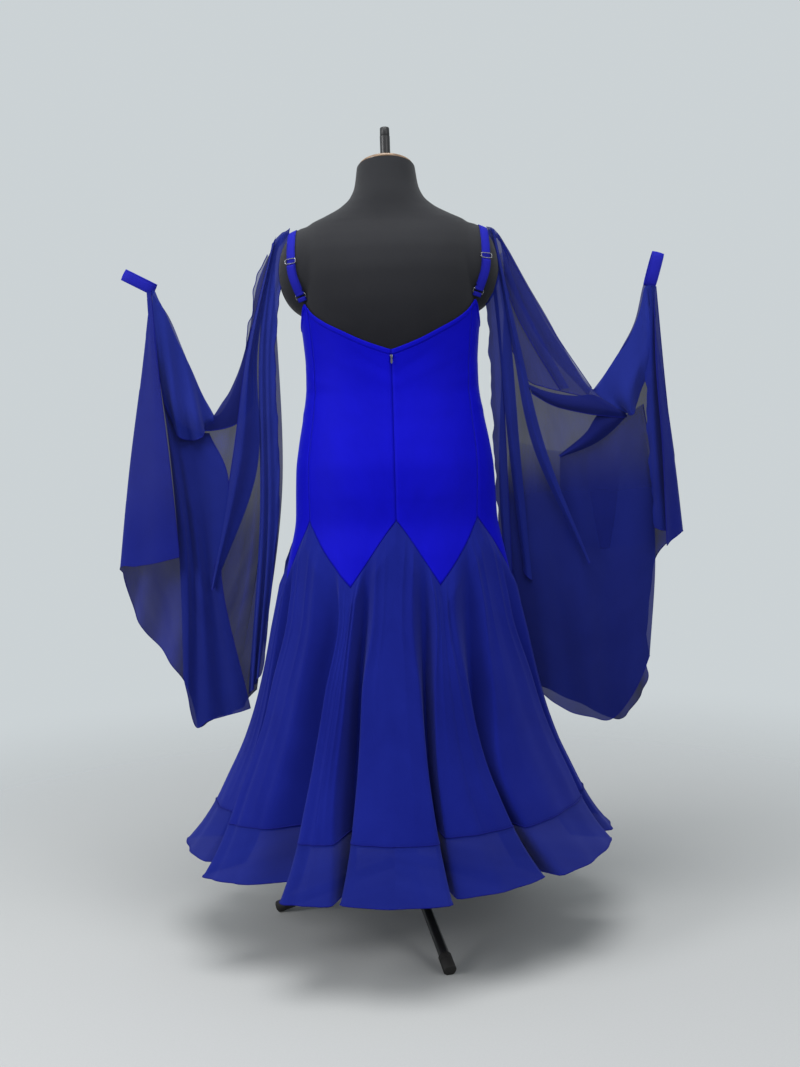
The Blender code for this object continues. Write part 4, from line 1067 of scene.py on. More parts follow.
def make_panel(index, name):
    unit = 360 / UNITS
    columns, rows = 44, 84
    share = np.linspace(0, 1, columns + 1)
    t = np.radians(unit * (index + share))[None, :].repeat(rows + 1, 0)
    top = top_edge(t[0])
    low = zigzag(t[0]) + SEAM
    turned_in = np.linspace(0, HEM_TURN, HEM_ROWS)[:, None] + 0 * t[:1]
    rest = np.linspace(0, 1, rows - HEM_ROWS + 2)[1:, None]
    below = np.concatenate([turned_in, HEM_TURN + (top - low - HEM_TURN) * rest])
    z = top - below
    edge = np.minimum(share, 1 - share)[None, :] * radians(unit) * MEAN_RADIUS
    past = np.clip((below - HEM_GROOVE + LAYER_END) / LAYER_FADE, -50, 50)
    lift = (bodice_lift(t, z, edge) + bump(below, *NECK_ROLL) + HEM_LAYER / (1 + np.exp(past))
            + bump(below - HEM_GROOVE, *GROOVE))
    points = dress_points(t, z, lift)
    for side, inner in ((0, 1), (-1, -2)):
        points[:, side] += unit_rows(points[:, inner] - points[:, side]) * SEAM / 2
    made = grid_piece(f"jersey_{name}", points, bodice_jersey, thickness=FABRIC)
    settle(made, "figure", "jersey", f"bodice_{name}")


for index, name in enumerate(PANEL_NAMES):
    make_panel(index, name)
print("bodice panels", len(PANEL_NAMES))

# %% [markdown]
# The neckline is turned in and topstitched, and the seam with the gores is stitched along the
# jersey's edge.  Every stitch is a short bent tube, so it catches light like real thread.

# %% Bodice stitching
def surface_normals(t, z):
    step = 0.002
    p = dress_points(t, z)
    across = dress_points(t + step, z) - p
    down = dress_points(t, z - step) - p
    return unit_rows(np.cross(down, across))


def stitch_bodice():
    t = np.linspace(0, 2 * pi, 900)
    for name, z, lift in (("neckline_stitches", top_edge(t) - 0.0070, 0.0009),
                          ("zigzag_stitches", zigzag(t) + 0.0022, 0.0)):
        stitched(name, dress_points(t, z, lift), surface_normals(t, z), 0.00028, 5)


stitch_bodice()

# %% [markdown]
# ## The skirt
# Seven gores and a ring of stiffened hem make the skirt.  Chiffon is too thin to show its
# thickness, so a single surface carries it.  The gores let no light through, and the hem band
# is a shade more open.

# %% Gores
GATHER_DROP = 0.04         # how far below the zigzag the folds are at their full height
GATHER_REST = 0.06         # how far above the band they begin to die out
UPPER_END = 0.32           # how far below the zigzag the strong upper folds end
UPPER_FADE = 0.20
SKIRT_RADIUS = (0.18, 0.2)  # at the hips, and what the hem has on top of that
FLUTE_LIFT = 0.0052
FLANK_END = 0.47           # share of a flute from its middle to where it stops rising
FLANK_FADE = 0.10
RIDGES = ((0.375, 1.0), (0.625, 1.0), (0.19, 0.5), (0.81, 0.6))  # place in a flute, share
RIDGE_LIFT = (0.0020, 0.0025)  # everywhere, and on top of that in the upper part
RIDGE_WIDTH = 0.05
GORE_SEAM = (-0.0008, 0.0025)  # height and width, as in the four below
ZIGZAG_SEAM = (-0.0004, 0.0030)
BAND_SEAM = (-0.0010, 0.0040)
BAND_RIDGE = (0.0012, 0.05)  # here and below, the width is a share of the band
BAND_ROLL = (0.0010, 0.04)
RIPPLE = (11, 0.0009)      # seed and height of the small ripples
BAND_RIPPLE = (5, 0.0005)


def flutter(t, z, seed, amount):
    """Small drifting ripples that die out towards the hips."""
    level = np.clip((PEAK_Z - z) / (PEAK_Z - HEM_Z), 0, 1)
    draw = np.random.default_rng(seed)
    total = np.zeros(np.broadcast(t, z).shape)
    for _ in range(5):
        waves = draw.integers(21, 64)
        phase, drift = draw.uniform(0, 2 * pi), draw.uniform(-6, 6)
        total = total + np.sin(waves * t + drift * level + phase) * draw.uniform(0.4, 1.0)
    return amount * total * level**1.3


def from_place(flute, place):
    """How far a point is from a place in its flute, as a share of the flute."""
    return np.abs((flute - place + 0.5) % 1 - 0.5)


def make_gore(number):
    rows = 96
    t = columns(2 * number - 1, 2, 8)
    high = zigzag(t) - SEAM
    low = band_top(t) - 0.003
    down = np.linspace(0, 1, rows + 1)[:, None] ** 0.95
    z = high + (low - high) * down
    t = t[None, :].repeat(rows + 1, 0)
    radius = SKIRT_RADIUS[0] + SKIRT_RADIUS[1] * down
    edge = np.minimum(t - t[:, :1], t[:, -1:] - t) * radius
    below = high - z
    gather = np.clip(below / GATHER_DROP, 0, 1) * np.clip((z - low) / GATHER_REST, 0, 1)
    upper = np.clip((UPPER_END - below) / UPPER_FADE, 0, 1)
    flute = t * FLUTES / (2 * pi)
    flank = np.clip((FLANK_END - from_place(flute, 0)) / FLANK_FADE, 0, 1)
    lift = flutter(t, z, *RIPPLE)
    lift = lift + FLUTE_LIFT * gather * upper * flank * flank * (3 - 2 * flank)
    for place, share in RIDGES:
        ridge = np.exp(-from_place(flute, place) / RIDGE_WIDTH)
        lift = lift + share * gather * (RIDGE_LIFT[0] + RIDGE_LIFT[1] * upper) * ridge
    lift = lift + bump(edge, *GORE_SEAM) * np.clip(down * 4, 0, 1)
    lift = lift + bump(below, *ZIGZAG_SEAM) + bump(z - low, *BAND_SEAM)
    points = dress_points(t, z, lift)
    made = grid_piece(f"chiffon_gore_{number + 1}", points, gore_chiffon)
    settle(made, "figure", "chiffon", f"skirt_gore_{number + 1}")


for number in range(UNITS):
    make_gore(number)
print("gores", UNITS)

# %% Hem band
def make_band():
    rows = 22
    t = columns(0, FLUTES, 5)[:-1]
    high = band_top(t) + 0.001
    down = np.linspace(0, 1, rows + 1)[:, None]
    z = high + (HEM_Z - high) * down
    t = t[None, :]
    lift = (flutter(t, z, *RIPPLE) + flutter(t, z, *BAND_RIPPLE) * down
            + bump(down, *BAND_RIDGE) + bump(1 - down, *BAND_ROLL))
    points = dress_points(t, z, lift)
    made = grid_piece("chiffon_hem_band", points, band_chiffon, ring=True)
    settle(made, "figure", "chiffon", "hem_band")
    for name, row, radius in (("band_seam", points[0], 0.0010), ("hem_roll", points[-1], 0.0011)):
        edge = tubes_piece(name, [row], radius, thread_blue, 6, closed=True)
        settle(edge, "figure", "chiffon")


make_band()

# %% [markdown]
# ## The zip
# A concealed zip closes the centre back, so only a fine groove and the slider with its drop
# shaped pull show.  A narrow woven tape lies behind the groove.

# %% Zip tape, slider and pull
ZIP_TOP = 1.058
PULL_PIVOT_Z = 1.0505
SLIDER = (0.0042, 0.0016, 0.0070)
LUG_GAP = 0.0022
LUG_WIDTH = 0.0009
PULL_PIN = 0.0005
PULL_LENGTH = 0.0105
PULL_WIDTH = 0.0044
PULL_THICKNESS = 0.0009
EAR_SIZE = (0.0012, 0.0013, 0.0013)
EYE_RADIUS = 0.00082
EYE_WIRE = 0.0003
NECK_WIRE = 0.00045
BLADE_DROP = 0.0020        # how far below its pin the pull's blade begins


def make_tape():
    rows = 60
    z = np.linspace(ZIP_TOP, PEAK_Z + 0.012, rows)
    middle = body_points(np.zeros(rows), z, BODY_EASE - 0.0007)
    ways = np.array([-0.0045, -0.0034, -0.0012, 0.0, 0.0012, 0.0034, 0.0045])
    lift = np.array([0.0, 0.0, 0.0002, 0.0003, 0.0002, 0.0, 0.0])
    points = middle[:, None, :] + np.stack([ways, lift, 0 * ways], -1)[None]
    tape = grid_piece("zip_tape_woven", points, thread_blue, thickness=0.0005)
    settle(tape, "figure", "jersey", "zip_tape")


def blade_outline():
    """A drop: narrow at the eye, round at the free end."""
    a = full_turn(28)
    swell = 0.62 + 0.38 * (0.5 - 0.5 * np.cos(a))
    return np.sin(a) * PULL_WIDTH / 2 * swell, -0.5 * PULL_LENGTH * (1 - np.cos(a))


def plate(outline_x, outline_z, y, thick, bevel):
    """Rings of a thin bevelled plate, front to back."""
    rings = []
    for inset, depth in ((0.55, 0.5), (bevel, 0.5), (0.0, 0.5 - bevel / 2), (0.0, -0.5 + bevel / 2),
                         (bevel, -0.5), (0.55, -0.5)):
        x = outline_x + (outline_x.mean() - outline_x) * inset
        z = outline_z + (outline_z.mean() - outline_z) * inset
        rings.append(np.stack([x, np.full_like(x, y + depth * thick), z], -1))
    return np.array(rings)


def closed_plate(rings):
    """A plate's rings as points, with its sides and its two ends as faces."""
    count, across = rings.shape[:2]
    ends = [tuple(range(across))[::-1], tuple((count - 1) * across + c for c in range(across))]
    return rings.reshape(-1, 3), quads(count, across, False, True) + ends


def metal_piece(name, parts, body, node):
    """Parts joined in silver metal, with their faces turned outwards."""
    piece = new_piece(name, *joined(parts), silver_metal)
    shape = bmesh.new()
    shape.from_mesh(piece.data)
    bmesh.ops.recalc_face_normals(shape, faces=shape.faces)
    shape.to_mesh(piece.data)
    shape.free()
    sharpen(piece)
    settle(piece, body, "silver", node)


def make_slider(face, pin):
    width, depth, height = SLIDER
    a = full_turn(40)
    x, z = oval(a, width / 2, height / 2, height / 2, 3.2)
    x = x * (1 + 0.12 * z / (height / 2))
    parts = [closed_plate(plate(x, z + PULL_PIVOT_Z, face + depth / 2, depth, 0.22))]
    reach = LUG_GAP / 2 + LUG_WIDTH / 2
    for side in (-1, 1):
        x, z = oval(a, *EAR_SIZE, 3.0)
        ear = plate(x, z, 0, LUG_WIDTH, 0.2)[:, :, [1, 0, 2]]
        ear += np.array((side * reach, pin[1] - 0.0004, PULL_PIVOT_Z))
        parts.append(closed_plate(ear))
    parts.append(tube_mesh([pin + (s * reach, 0, 0) for s in np.linspace(-1, 1, 5)], PULL_PIN, 12))
    metal_piece("zip_slider_body", parts, "figure", "zip_slider")


def make_pull(pin):
    x, z = blade_outline()
    eye = [pin + (0, EYE_RADIUS * cos(k), EYE_RADIUS * sin(k)) for k in full_turn(24)]
    neck = [pin + (0, 0, -k) for k in (0.0010, 0.0016, 0.0024)]
    metal_piece("zip_pull_drop", [
        closed_plate(plate(x, z - BLADE_DROP, 0, PULL_THICKNESS, 0.12) + pin),
        tube_mesh(eye, EYE_WIRE, 8, closed=True), tube_mesh(neck, NECK_WIRE, 8)],
        "zip_pull", "zip_pull")


def make_zip_hardware():
    back = max(dress_points(0.0, z)[1] for z in (PULL_PIVOT_Z - 0.004, PULL_PIVOT_Z + 0.004))
    face = back + 0.0004
    pin = np.array((0, face + SLIDER[1] + 0.0014, PULL_PIVOT_Z))
    make_slider(face, pin)
    make_pull(pin)


make_tape()
make_zip_hardware()

# %% [markdown]
# ## Straps
# A jersey strap runs from the bust over the shoulder.  Its end is doubled back from a small
# ring, which a loop of cloth ties to the bodice, and a slider on top sets its length.  Wire
# parts are tubes bent to a rounded rectangle, and the cloth follows the form's own surface.

# %% Strap course
STRAP_COURSE = (
    (172.5, 0.1200), (155, 0.1400), (130, 0.1590), (100, 0.1680), (75, 0.1705),
    (45, 0.1720), (15, 0.1700), (-10, 0.1630), (-32, 0.1550),
)
STRAP_WIDTH = 0.016
SHOULDER_Z = 1.190
STRAP_LIFT = 0.0034
RING_AT = 7.82
BUCKLE_AT = 5.30
TAIL_FROM = 5.52
STRAP_STOP = 0.48
RING_SIZE = (0.0195, 0.0080, 0.0008)
BUCKLE_SIZE = (0.0200, 0.0085, 0.0009)
WRAP_RADIUS = 0.0012
WRAP_TURN = WRAP_RADIUS + FABRIC
WIRE_POWER = 5.0           # how square the rings and sliders are
CROWN = 0.0003             # how far the middle of a band stands up
TAB_LENGTH = 0.0052


def on_course(side, t):
    """The place on the form that a strap's course passes, and the way out from there."""
    angle, distance = (float(v) for v in spline(STRAP_COURSE, t))
    centre = Vector((side * distance, 0, SHOULDER_Z))
    out = Vector((0, cos(radians(angle)), sin(radians(angle))))
    hit, normal, _, _ = body_tree.ray_cast(centre + out * 0.4, -out)
    return hit, (normal + out * 0.6).normalized()


def strap_frame(side, t):
    here, out = on_course(side, t)
    way = (on_course(side, t + 0.15)[0] - on_course(side, t - 0.15)[0]).normalized()
    return here, way, (out - way * out.dot(way)).normalized()


# %% Strap cloth and wire
def ribbon_grid(points, normals, width):
    """A band along points with a slightly raised middle and stitched dips near its edges."""
    ways = (-0.5, -0.47, -0.40, -0.33, 0.0, 0.33, 0.40, 0.47, 0.5)
    rise = (-0.9, -0.3, -0.6, 0.1, 1.0, 0.1, -0.6, -0.3, -0.9)
    grid = []
    for i, (point, normal) in enumerate(zip(points, normals)):
        ahead = points[min(i + 1, len(points) - 1)] - points[max(i - 1, 0)]
        across = ahead.cross(normal).normalized()
        grid.append([point + across * width * w + normal * CROWN * r for w, r in zip(ways, rise)])
    return np.array([[tuple(p) for p in row] for row in grid])


def wire_loop(name, centre, across, along, size, node):
    width, length, radius = size
    x, y = oval(full_turn(48), width / 2, length / 2, length / 2, WIRE_POWER)
    run = [centre + across * float(p) + along * float(q) for p, q in zip(x, y)]
    made = tubes_piece(name, [[tuple(p) for p in run]], radius, silver_metal, 12, closed=True)
    return settle(made, "figure", "silver", node)


def cloth_band(name, points, normals, node, width=STRAP_WIDTH):
    grid = ribbon_grid(points, normals, width)
    made = grid_piece(name, grid, strap_jersey, thickness=FABRIC)
    settle(made, "figure", "jersey", node)
    out = np.array([tuple(n) for n in normals])
    for label, column in (("in", 2), ("out", -3)):
        stitched(f"{name}_stitch_{label}", grid[:, column] + out * 0.00012, out, 0.00022, 4,
                 0.0020, 0.0009, 0.0002)


def wrap_round(bar, down, normal, upper, lower_end):
    """Cloth that comes along the upper points, turns round a bar and goes back beneath."""
    points = [point for point, _ in upper]
    normals = [out for _, out in upper]
    for k in np.linspace(0, pi, 11):
        out = normal * cos(k) + down * sin(k)
        points.append(bar + out * WRAP_TURN)
        normals.append(out)
    points.append(lower_end)
    normals.append(-normal)
    return points, normals


def make_strap(side, hand):
    place, down, normal = strap_frame(side, RING_AT)
    across = down.cross(normal)
    middle = place + normal * (STRAP_LIFT + WRAP_RADIUS + 0.0006)
    wire_loop(f"strap_ring_{hand}", middle, across, down, RING_SIZE, f"ring_{hand}")
    bar = middle - down * (RING_SIZE[1] / 2)
    points, normals = [], []
    for t in np.linspace(0, RING_AT - STRAP_STOP, 90):
        point, out = on_course(side, t)
        points.append(point + out * STRAP_LIFT)
        normals.append(out)
    cloth_band(f"shoulder_strap_{hand}", points, normals, f"strap_{hand}")
    place, slope, out = strap_frame(side, BUCKLE_AT)
    wire_loop(f"strap_slider_{hand}", place + out * (STRAP_LIFT + 0.0015 + BUCKLE_SIZE[2]),
              slope.cross(out), slope, BUCKLE_SIZE, f"buckle_{hand}")
    upper = []
    for t in np.linspace(TAIL_FROM, RING_AT - 0.25, 36):
        point, _, out = strap_frame(side, t)
        upper.append((point + out * (STRAP_LIFT + WRAP_RADIUS + WRAP_TURN), out))
    points, normals = wrap_round(bar, down, normal, upper,
                                 bar - normal * WRAP_TURN - down * 0.0030)
    cloth_band(f"strap_tail_{hand}", points, normals, f"strap_end_{hand}", STRAP_WIDTH - 0.001)
    low = middle + down * (RING_SIZE[1] / 2)
    reach = down * TAB_LENGTH
    upper = [(low + normal * WRAP_TURN + reach * f, normal) for f in (1, 0.66, 0.33)]
    points, normals = wrap_round(low, -down, normal, upper, low - normal * WRAP_TURN + reach)
    cloth_band(f"ring_loop_{hand}", points, normals, f"ring_tab_{hand}", STRAP_WIDTH - 0.001)


for hand, side in (("left", 1), ("right", -1)):
    make_strap(side, hand)

# %% [markdown]
# ## Wrist loops
# Each float ends in a flat loop of doubled jersey that slips over the hand.  The loop is a
# pressed ring, stitched along both edges.

# %% Cuffs
LEFT_CUFF = ((0.4255, 1.1885), 28.0)
RIGHT_CUFF = ((0.4710, 1.1680), 74.0)
CUFF_WIDTH = 0.021
CUFF_LENGTH = 0.062
CUFF_DEPTH = 0.015
CUFF_THICKNESS = 0.0016
CUFF_POWER = 0.7           # how flat the loop is pressed


def make_cuff(hand, side, place):
    (x, z), angle = place
    along = np.array((cos(radians(angle)), 0, sin(radians(angle))))
    across = np.array((-sin(radians(angle)), 0, cos(radians(angle))))
    middle = np.array((x, 0, z)) + along * CUFF_LENGTH / 2
    a = full_turn(96)
    stretch = signed_power(np.cos(a), CUFF_POWER)
    edges = np.array((-0.5, -0.47, -0.40, -0.33, -0.15, 0.15, 0.33, 0.40, 0.47, 0.5))
    puff = np.array((-0.0004, -0.0001, -0.0003, 0.0001, 0.0004, 0.0004, 0.0001, -0.0003,
                     -0.0001, -0.0004))
    grid = []
    for edge, rise in zip(edges, puff):
        line = (middle + np.outer(stretch, along) * (CUFF_LENGTH / 2 + rise)
                + np.outer(np.sin(a) * (CUFF_DEPTH / 2 + rise), (0, 1, 0))
                + across * edge * CUFF_WIDTH)
        grid.append(line * np.array((side, 1, 1)))
    grid = np.array(grid)
    made = grid_piece(f"wrist_loop_{hand}", grid, strap_jersey, ring=True,
                      thickness=CUFF_THICKNESS, offset=0.0)
    settle(made, "figure", "jersey", f"cuff_{hand}")
    out = np.stack([np.cos(a)[:, None] * along[0], np.sin(a)[:, None],
                    np.cos(a)[:, None] * along[2]], -1)[:, 0]
    out *= np.array((side, 1, 1))
    for label, row in (("upper", 2), ("lower", -3)):
        run = np.concatenate([grid[row], grid[row][:1]])
        normals = np.concatenate([out, out[:1]])
        stitched(f"wrist_loop_{hand}_stitch_{label}",
                 run + normals * (CUFF_THICKNESS / 2 + 0.0001), normals, 0.00024, 4, lift=0.0002)


# %% [markdown]
# ## The floats
# A float is one long piece of chiffon, gathered at the strap and at the wrist loop, that dips
# between them and falls in layers.  Each visible layer is a sheet through hang lines, every
# line given at its top, upper third, lower third and hem.  Fine ripples run down the lines and
# grow towards the hem, which is finished with a narrow rolled edge.

# %% Float sheet helper
FINE = 8                   # columns from one hang line to the next
WAVES = 2.4                # ripples on the same stretch, in radians
FRILL_WAVE = 0.085
FRILL = 0.0014
ROLL_RADIUS = 0.0008


def float_points(lines, side, down, ripple, seed, frill):
    t = np.linspace(0, len(lines) - 1, (len(lines) - 1) * FINE + 1)
    anchors = spline(lines, t)
    drop = np.linspace(0, 3, down + 1)
    points = spline(np.moveaxis(anchors, 1, 0), drop)
    draw = np.random.default_rng(seed)
    fall = (drop / 3)[:, None]
    wave = np.zeros(points.shape[:2])
    for _ in range(4):
        pace = draw.uniform(0.6, 1.6) * WAVES
        drift = draw.uniform(-1.5, 1.5)
        wave += np.sin(pace * t[None, :] + drift * fall + draw.uniform(0, 2 * pi))
    wave *= ripple * (0.15 + 0.85 * fall**1.2) / 2
    flow = unit_rows(np.gradient(points, axis=1))
    out = np.cross(flow, unit_rows(np.gradient(points, axis=0)))
    out = unit_rows(out * np.sign(out[..., 1:2] + 1e-9), 1e-3)
    points = points + out * wave[..., None]
    reach = np.linspace(1, 0, FINE + 1)[None, :] ** 1.5
    for amount, border, sign in ((frill[0], 0, 1), (frill[1], -1, -1)):
        if amount:
            run = np.append(0, steps_along(points[:, border], 0).cumsum())[:, None]
            turn = 2 * pi * run / FRILL_WAVE + draw.uniform(0, 2 * pi)
            sway = np.sin(turn) + 0.8 * np.sin(1.63 * turn + 1) + 0.5 * np.sin(2.9 * turn + 2)
            part = slice(0, FINE + 1) if border == 0 else slice(-1, -FINE - 2, -1)
            points[:, part] += amount * (reach * sway)[..., None] * flow[:, part] * sign
            points[:, part] += amount * (reach * np.cos(turn))[..., None] * out[:, part]
    points = points * np.array((side, 1, 1))
    return points[:, ::-1] if side < 0 else points


def make_float(hand, side, seed, layers):
    """The back layer, which stands for the CAD's float, and the other layers held by it."""
    for layer, lines, finish, down, ripple, edges, frill in layers:
        back = layer == "back"
        points = float_points(lines, side, down, ripple, seed - 1 if back else seed + len(layer),
                              frill)
        name = f"float_{hand}_{layer}"
        made = grid_piece(name, points, finish)
        settle(made, "figure", "chiffon", *([f"float_{hand}"] if back else []))
        runs = {"hem": points[-1], "first": points[:, 0], "last": points[:, -1]}
        rolled = tubes_piece(f"{name}_roll", [runs[e] for e in edges], ROLL_RADIUS, thread_blue)
        settle(rolled, "figure", "chiffon")
    print(f"layers of the {hand} float", len(layers))


# %% Left float tables
def hang_lines(*rows):
    """Lines of x, y and z in millimetres at their top, upper third, lower third and hem."""
    return np.reshape(rows, (-1, 4, 3)) / 1000


LEFT_BACK = hang_lines(
    (177.9,0,1284, 207,-6,1205, 209,-20,820, 272,-30,445),
    (189,1,1280.5, 218.5,2,1178, 230,0,790, 294,-8,420),
    (201,-1,1268, 231,-10,1138, 249,-20,760, 319,-26,404),
    (218,2,1240, 245.5,-2,1085, 267,-2,730, 345,-10,400),
    (241,-1,1188, 262,-12,1000, 291,-20,710, 366,-28,386),
    (256,4,1110, 277,0,935, 318,-4,690, 384,-10,383),
    (284,0,1020, 298,-10,900, 345,-18,700, 400,-24,450),
    (322,4,958, 332,0,865, 378,-8,700, 428,-12,500),
    (352,0,1008, 368,-12,900, 413,-20,730, 458,-26,537),
    (378,2,1078, 400,-8,950, 446,-14,780, 482,-20,572),
    (402,0,1140, 432,-10,1000, 470,-16,830, 496,-20,612),
    (430.2,0,1182, 454,4,1040, 485,4,860, 509,4,682),
    (434.5,3.5,1184.5, 444,22,1040, 468,30,860, 480,34,690),
    (438.5,6.2,1186.5, 430,32,1030, 434,44,860, 440,50,696),
    (431,8,1184, 417,36,1016, 402,50,863, 391,56,707),
)
LEFT_SWAG = hang_lines(
    (430,4,1188, 428,10,1152, 426,14,1107, 425,12,1065),
    (424,4,1186, 420,14,1124, 416,20,1052, 415,16,989),
    (418,4,1170, 410,16,1088, 405,26,1007, 401,20,946),
    (408,3,1148, 399,17,1061, 391,30,981, 386,22,922),
    (395,2,1116, 385,16,1039, 375,30,966, 370,22,914),
    (379,2,1075, 369,14,1015, 360,26,959, 354,20,919),
    (359,1,1030, 352,11,988, 345,18,953, 341,14,933),
    (341,1,986, 337,6,967, 334,10,953, 333,8,944),
    (328,0,960, 328,2,956, 327,3,954, 327,3,952),
)
LEFT_FRONT = hang_lines(
    (425,4,1048, 408,18,895, 398,22,698, 400,16,490),
    (418,4,1012, 399,22,877, 384,30,689, 393,22,438),
    (406,3,980, 389,18,862, 375,20,679, 383,12,385),
    (393,3,953, 376,22,847, 361,28,675, 358,20,399),
    (376,2,938, 358,18,843, 349,18,670, 330,12,404),
    (354,2,930, 330,22,840, 335,26,667, 303,18,412),
    (338,2,927, 303,22,835, 322,30,662, 281,14,418),
)
LEFT_INNER = hang_lines(
    (327,2,958, 334,6,951, 342,8,942, 348,8,931),
    (312,2,981, 317,8,967, 323,10,950, 327,10,932),
    (296,2,1004, 300,9,981, 304,11,957, 307,10,935),
    (280,2,1036, 282,10,1004, 285,12,973, 287,10,942),
    (266,2,1076, 267,10,1034, 268,12,992, 270,10,956),
    (253,2,1118, 252,10,1071, 252,12,1021, 254,10,977),
)
LEFT_FOLD = hang_lines(
    (207,10,1264, 260,10,1075, 294,20,877, 341,30,646),
    (204,16,1269, 253,24,1074, 279,34,877, 339,36,643),
    (202,16,1272, 248,14,1074, 264,22,876, 336,34,646),
    (201,14,1276, 241,16,1074, 251,18,858, 333,28,652),
)
LEFT_FRILL = hang_lines(
    (216,4,1239, 228,6,1191, 239,6,1143, 260,4,1075),
    (217,6,1242, 233,10,1194, 244,10,1146, 264,6,1077),
    (219,6,1246, 240,12,1199, 249,12,1148, 265,8,1079),
)
LEFT_PLEATS = hang_lines(
    (209,10,1263, 239,14,1074, 250,14,766, 285,8,443),
    (203,11,1270, 233,18,1074, 244,18,766, 277,12,451),
    (197,11,1276, 228,16,1074, 238,16,766, 271,10,462),
    (190,11,1282, 222,20,1073, 231,20,766, 265,14,474),
    (183,10,1285, 217,18,1073, 222,16,765, 257,12,486),
    (176,8,1290, 209,20,1082, 213,18,802, 248,10,544),
)

# %% Left float
make_float("left", 1, 4, (
    ("back", LEFT_BACK, float_chiffon, 60, 0.004, ("hem", "last"), (0, 0)),
    ("swag", LEFT_SWAG, swag_chiffon, 30, 0.006, ("hem",), (0, 0)),
    ("front", LEFT_FRONT, fold_chiffon, 60, 0.003, ("hem", "last"), (0, 0)),
    # The inner layer takes the chiffon with painted shade.
    ("inner", LEFT_INNER, shaded_chiffon, 24, 0.002, ("hem",), (0, 0)),
    ("fold", LEFT_FOLD, fold_chiffon, 60, 0.001, ("hem", "first"), (0, 0)),
    ("frill", LEFT_FRILL, sheer_chiffon, 50, 0.001, ("last",), (0, FRILL)),
    ("pleats", LEFT_PLEATS, swag_chiffon, 180, 0.003, ("hem", "last"), (0, FRILL))))

# %% Right float tables
RIGHT_BACK = hang_lines(
    (177.9,0,1284, 207,-8,1205, 193,-62,780, 234,-170,424),
    (190,1,1280, 219,2,1180, 214,-52,760, 266,-145,416),
    (203,-1,1266, 232,-16,1140, 240,-64,720, 300,-124,402),
    (222,2,1232, 250,-6,1090, 270,-40,690, 336,-88,388),
    (250,-1,1180, 276,-20,1000, 301,-46,660, 371,-70,376),
    (284,4,1118, 304,-8,940, 333,-26,650, 405,-40,363),
    (322,0,1048, 334,-18,890, 364,-32,650, 428,-42,378),
    (363,4,986, 368,-6,870, 394,-14,670, 450,-20,420),
    (392,0,1018, 398,-16,880, 421,-22,700, 460,-28,465),
    (420,4,1062, 424,-8,910, 440,-12,740, 458,-16,520),
    (444,2,1108, 450,-12,950, 458,-16,800, 467,-20,600),
    (460,0,1170, 472,2,990, 484,0,850, 480,-2,680),
    (466.4,2,1171.5, 488,12,1020, 509,12,860, 523,12,722),
    (473.5,4,1170, 482,26,1020, 497,30,870, 504,34,712),
    (479,5.2,1168, 474,36,1020, 480,46,880, 484,50,700),
)
RIGHT_SWAG = hang_lines(
    (365,3,984, 382,10,967, 401,16,952, 423,14,937),
    (386,3,1011, 398,14,983, 411,22,959, 426,18,937),
    (408,2,1042, 416,16,1004, 423,26,969, 433,20,940),
    (433,2,1080, 435,16,1034, 435,28,988, 440,20,949),
    (448,3,1113, 450,14,1066, 449,24,1017, 450,18,970),
    (457,3,1144, 460,12,1103, 462,18,1054, 460,14,1006),
    (463,4,1167, 468,9,1128, 473,12,1088, 469,10,1049),
    (477,5,1170, 478,8,1142, 481,10,1115, 478,10,1088),
)
RIGHT_SHOULDER = hang_lines(
    (174,8,1280, 193,10,1213, 204,12,1132, 218,16,1060),
    (193,8,1272, 212,12,1177, 226,17,1087, 244,19,1007),
    (216,6,1242, 235,12,1140, 254,18,1059, 274,20,992),
    (246,5,1182, 263,14,1102, 282,19,1036, 306,20,983),
    (280,3,1111, 293,11,1063, 313,18,1019, 337,18,975),
    (310,3,1062, 321,10,1032, 340,16,999, 365,16,966),
    (339,2,1021, 350,8,1001, 367,12,978, 392,13,952),
    (365,2,982, 377,5,971, 395,8,956, 422,8,940),
)
RIGHT_CASCADE = hang_lines(
    (469,10,1162, 459,18,1008, 461,20,872, 470,18,731),
    (472,12,1165, 469,24,1007, 472,28,872, 484,26,726),
    (476,10,1167, 481,18,1007, 487,22,871, 502,20,725),
    (482,6,1167, 493,14,1007, 505,18,871, 520,16,731),
)
RIGHT_EDGE = hang_lines(
    (197,6,1271, 252,6,1169, 303,6,1080, 363,6,988),
    (189,10,1263, 241,13,1160, 291,14,1071, 358,12,980),
    (182,9,1256, 230,10,1150, 280,11,1060, 355,12,973),
)
RIGHT_TUCK = hang_lines(
    (195,12,1229, 223,17,1135, 256,21,1066, 303,22,985),
    (201,16,1232, 232,23,1138, 264,26,1069, 309,26,987),
    (206,12,1236, 240,18,1143, 274,22,1072, 319,22,988),
)
RIGHT_LIP = hang_lines(
    (241,22,1000, 245,26,994, 248,28,989, 251,26,981),
    (272,23,986, 275,28,979, 278,30,970, 282,26,961),
    (301,23,978, 305,29,969, 310,31,958, 316,26,949),
    (333,21,974, 338,27,964, 343,29,953, 349,24,942),
    (363,18,975, 369,24,962, 376,26,949, 383,21,936),
    (394,14,959, 398,19,952, 404,20,943, 410,16,933),
    (424,8,942, 423,11,939, 425,11,937, 425,10,933),
)
RIGHT_CROSS = hang_lines(
    (423,10,942, 375,16,942, 347,20,906, 299,16,868),
    (423,12,939, 385,21,922, 351,24,894, 301,18,866),
    (425,10,935, 393,14,905, 357,18,883, 303,16,864),
)
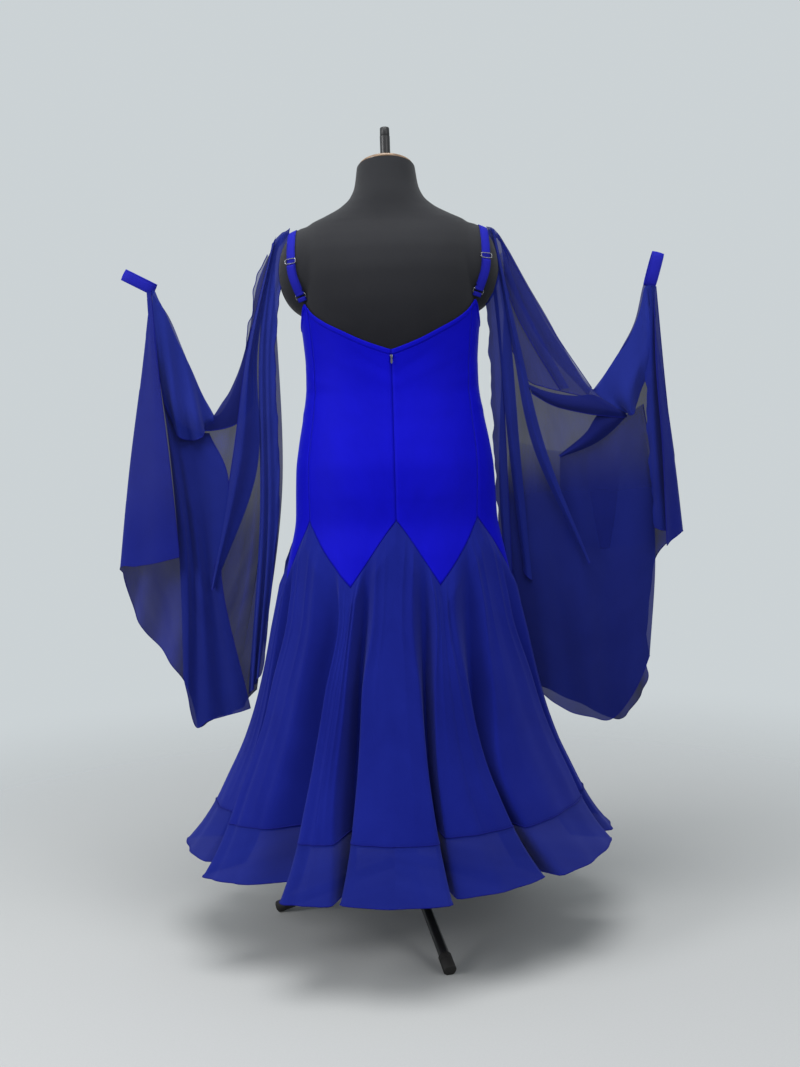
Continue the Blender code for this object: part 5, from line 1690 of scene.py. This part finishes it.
RIGHT_VEIL = hang_lines(
    (210,8,898, 205,10,788, 212,10,641, 247,4,437),
    (247,12,888, 244,18,769, 255,22,623, 274,12,416),
    (284,8,877, 285,10,749, 296,10,601, 311,4,392),
    (329,12,876, 331,18,748, 339,22,601, 351,12,381),
    (376,8,893, 380,10,746, 381,10,599, 389,4,374),
    (416,10,919, 425,16,782, 428,18,635, 426,10,420),
    (453,6,945, 469,10,799, 472,10,661, 460,4,493),
)
RIGHT_UNDER = hang_lines(
    (302,6,864, 301,8,822, 304,8,767, 310,6,702),
    (339,8,887, 341,12,830, 343,12,766, 350,10,696),
    (376,8,915, 380,10,847, 382,10,774, 387,8,694),
    (417,6,933, 422,12,864, 424,12,782, 427,10,699),
    (456,4,956, 467,8,872, 471,8,789, 470,6,706),
)
RIGHT_FOLD = hang_lines(
    (184,14,1279, 218,18,1069, 253,24,879, 346,28,670),
    (187,20,1276, 224,30,1068, 263,36,878, 347,32,669),
    (191,16,1275, 232,22,1068, 274,28,878, 349,28,672),
)
RIGHT_CREASE = hang_lines(
    (169,12,1269, 188,18,1150, 208,20,880, 230,18,660),
    (177,14,1274, 198,22,1149, 216,27,880, 237,24,647),
    (184,10,1277, 211,18,1149, 228,21,879, 245,20,641),
)
RIGHT_STRIP = hang_lines(
    (164,8,1266, 175,14,1124, 182,16,844, 193,14,553),
    (169,12,1269, 183,20,1123, 191,24,844, 202,20,546),
    (177,10,1272, 196,16,1123, 204,17,844, 211,14,536),
)

# %% Right float
make_float("right", -1, 14, (
    ("back", RIGHT_BACK, float_chiffon, 60, 0.004, ("hem", "first"), (0, 0)),
    ("swag", RIGHT_SWAG, swag_chiffon, 30, 0.006, ("hem",), (0, 0)),
    ("shoulder", RIGHT_SHOULDER, sheer_chiffon, 30, 0.002, ("hem",), (0, 0)),
    ("cascade", RIGHT_CASCADE, fold_chiffon, 110, 0.002, ("hem", "first"), (FRILL, 0)),
    ("edge", RIGHT_EDGE, sheer_chiffon, 40, 0.001, ("last",), (0, 0)),
    ("tuck", RIGHT_TUCK, sheer_chiffon, 40, 0.001, ("last",), (0, 0)),
    # The lip and the cross take the chiffon with painted shade.
    ("lip", RIGHT_LIP, shaded_chiffon, 16, 0.001, ("hem",), (0, 0)),
    ("cross", RIGHT_CROSS, shaded_chiffon, 16, 0.001, ("hem",), (0, 0)),
    ("veil", RIGHT_VEIL, veil_chiffon, 60, 0.003, ("hem",), (0, 0)),
    ("under", RIGHT_UNDER, sheer_chiffon, 30, 0.002, ("first",), (0, 0)),
    ("fold", RIGHT_FOLD, fold_chiffon, 60, 0.001, ("hem",), (0, 0)),
    ("crease", RIGHT_CREASE, fold_chiffon, 60, 0.001, ("hem",), (0, 0)),
    ("strip", RIGHT_STRIP, fold_chiffon, 160, 0.001, ("hem", "first"), (FRILL, 0))))
for hand, side, place in (("left", 1, LEFT_CUFF), ("right", -1, RIGHT_CUFF)):
    make_cuff(hand, side, place)

# %% [markdown]
# ## Finish
# The view layer is brought up to date at the end.

# %% Finish
bpy.context.view_layer.update()
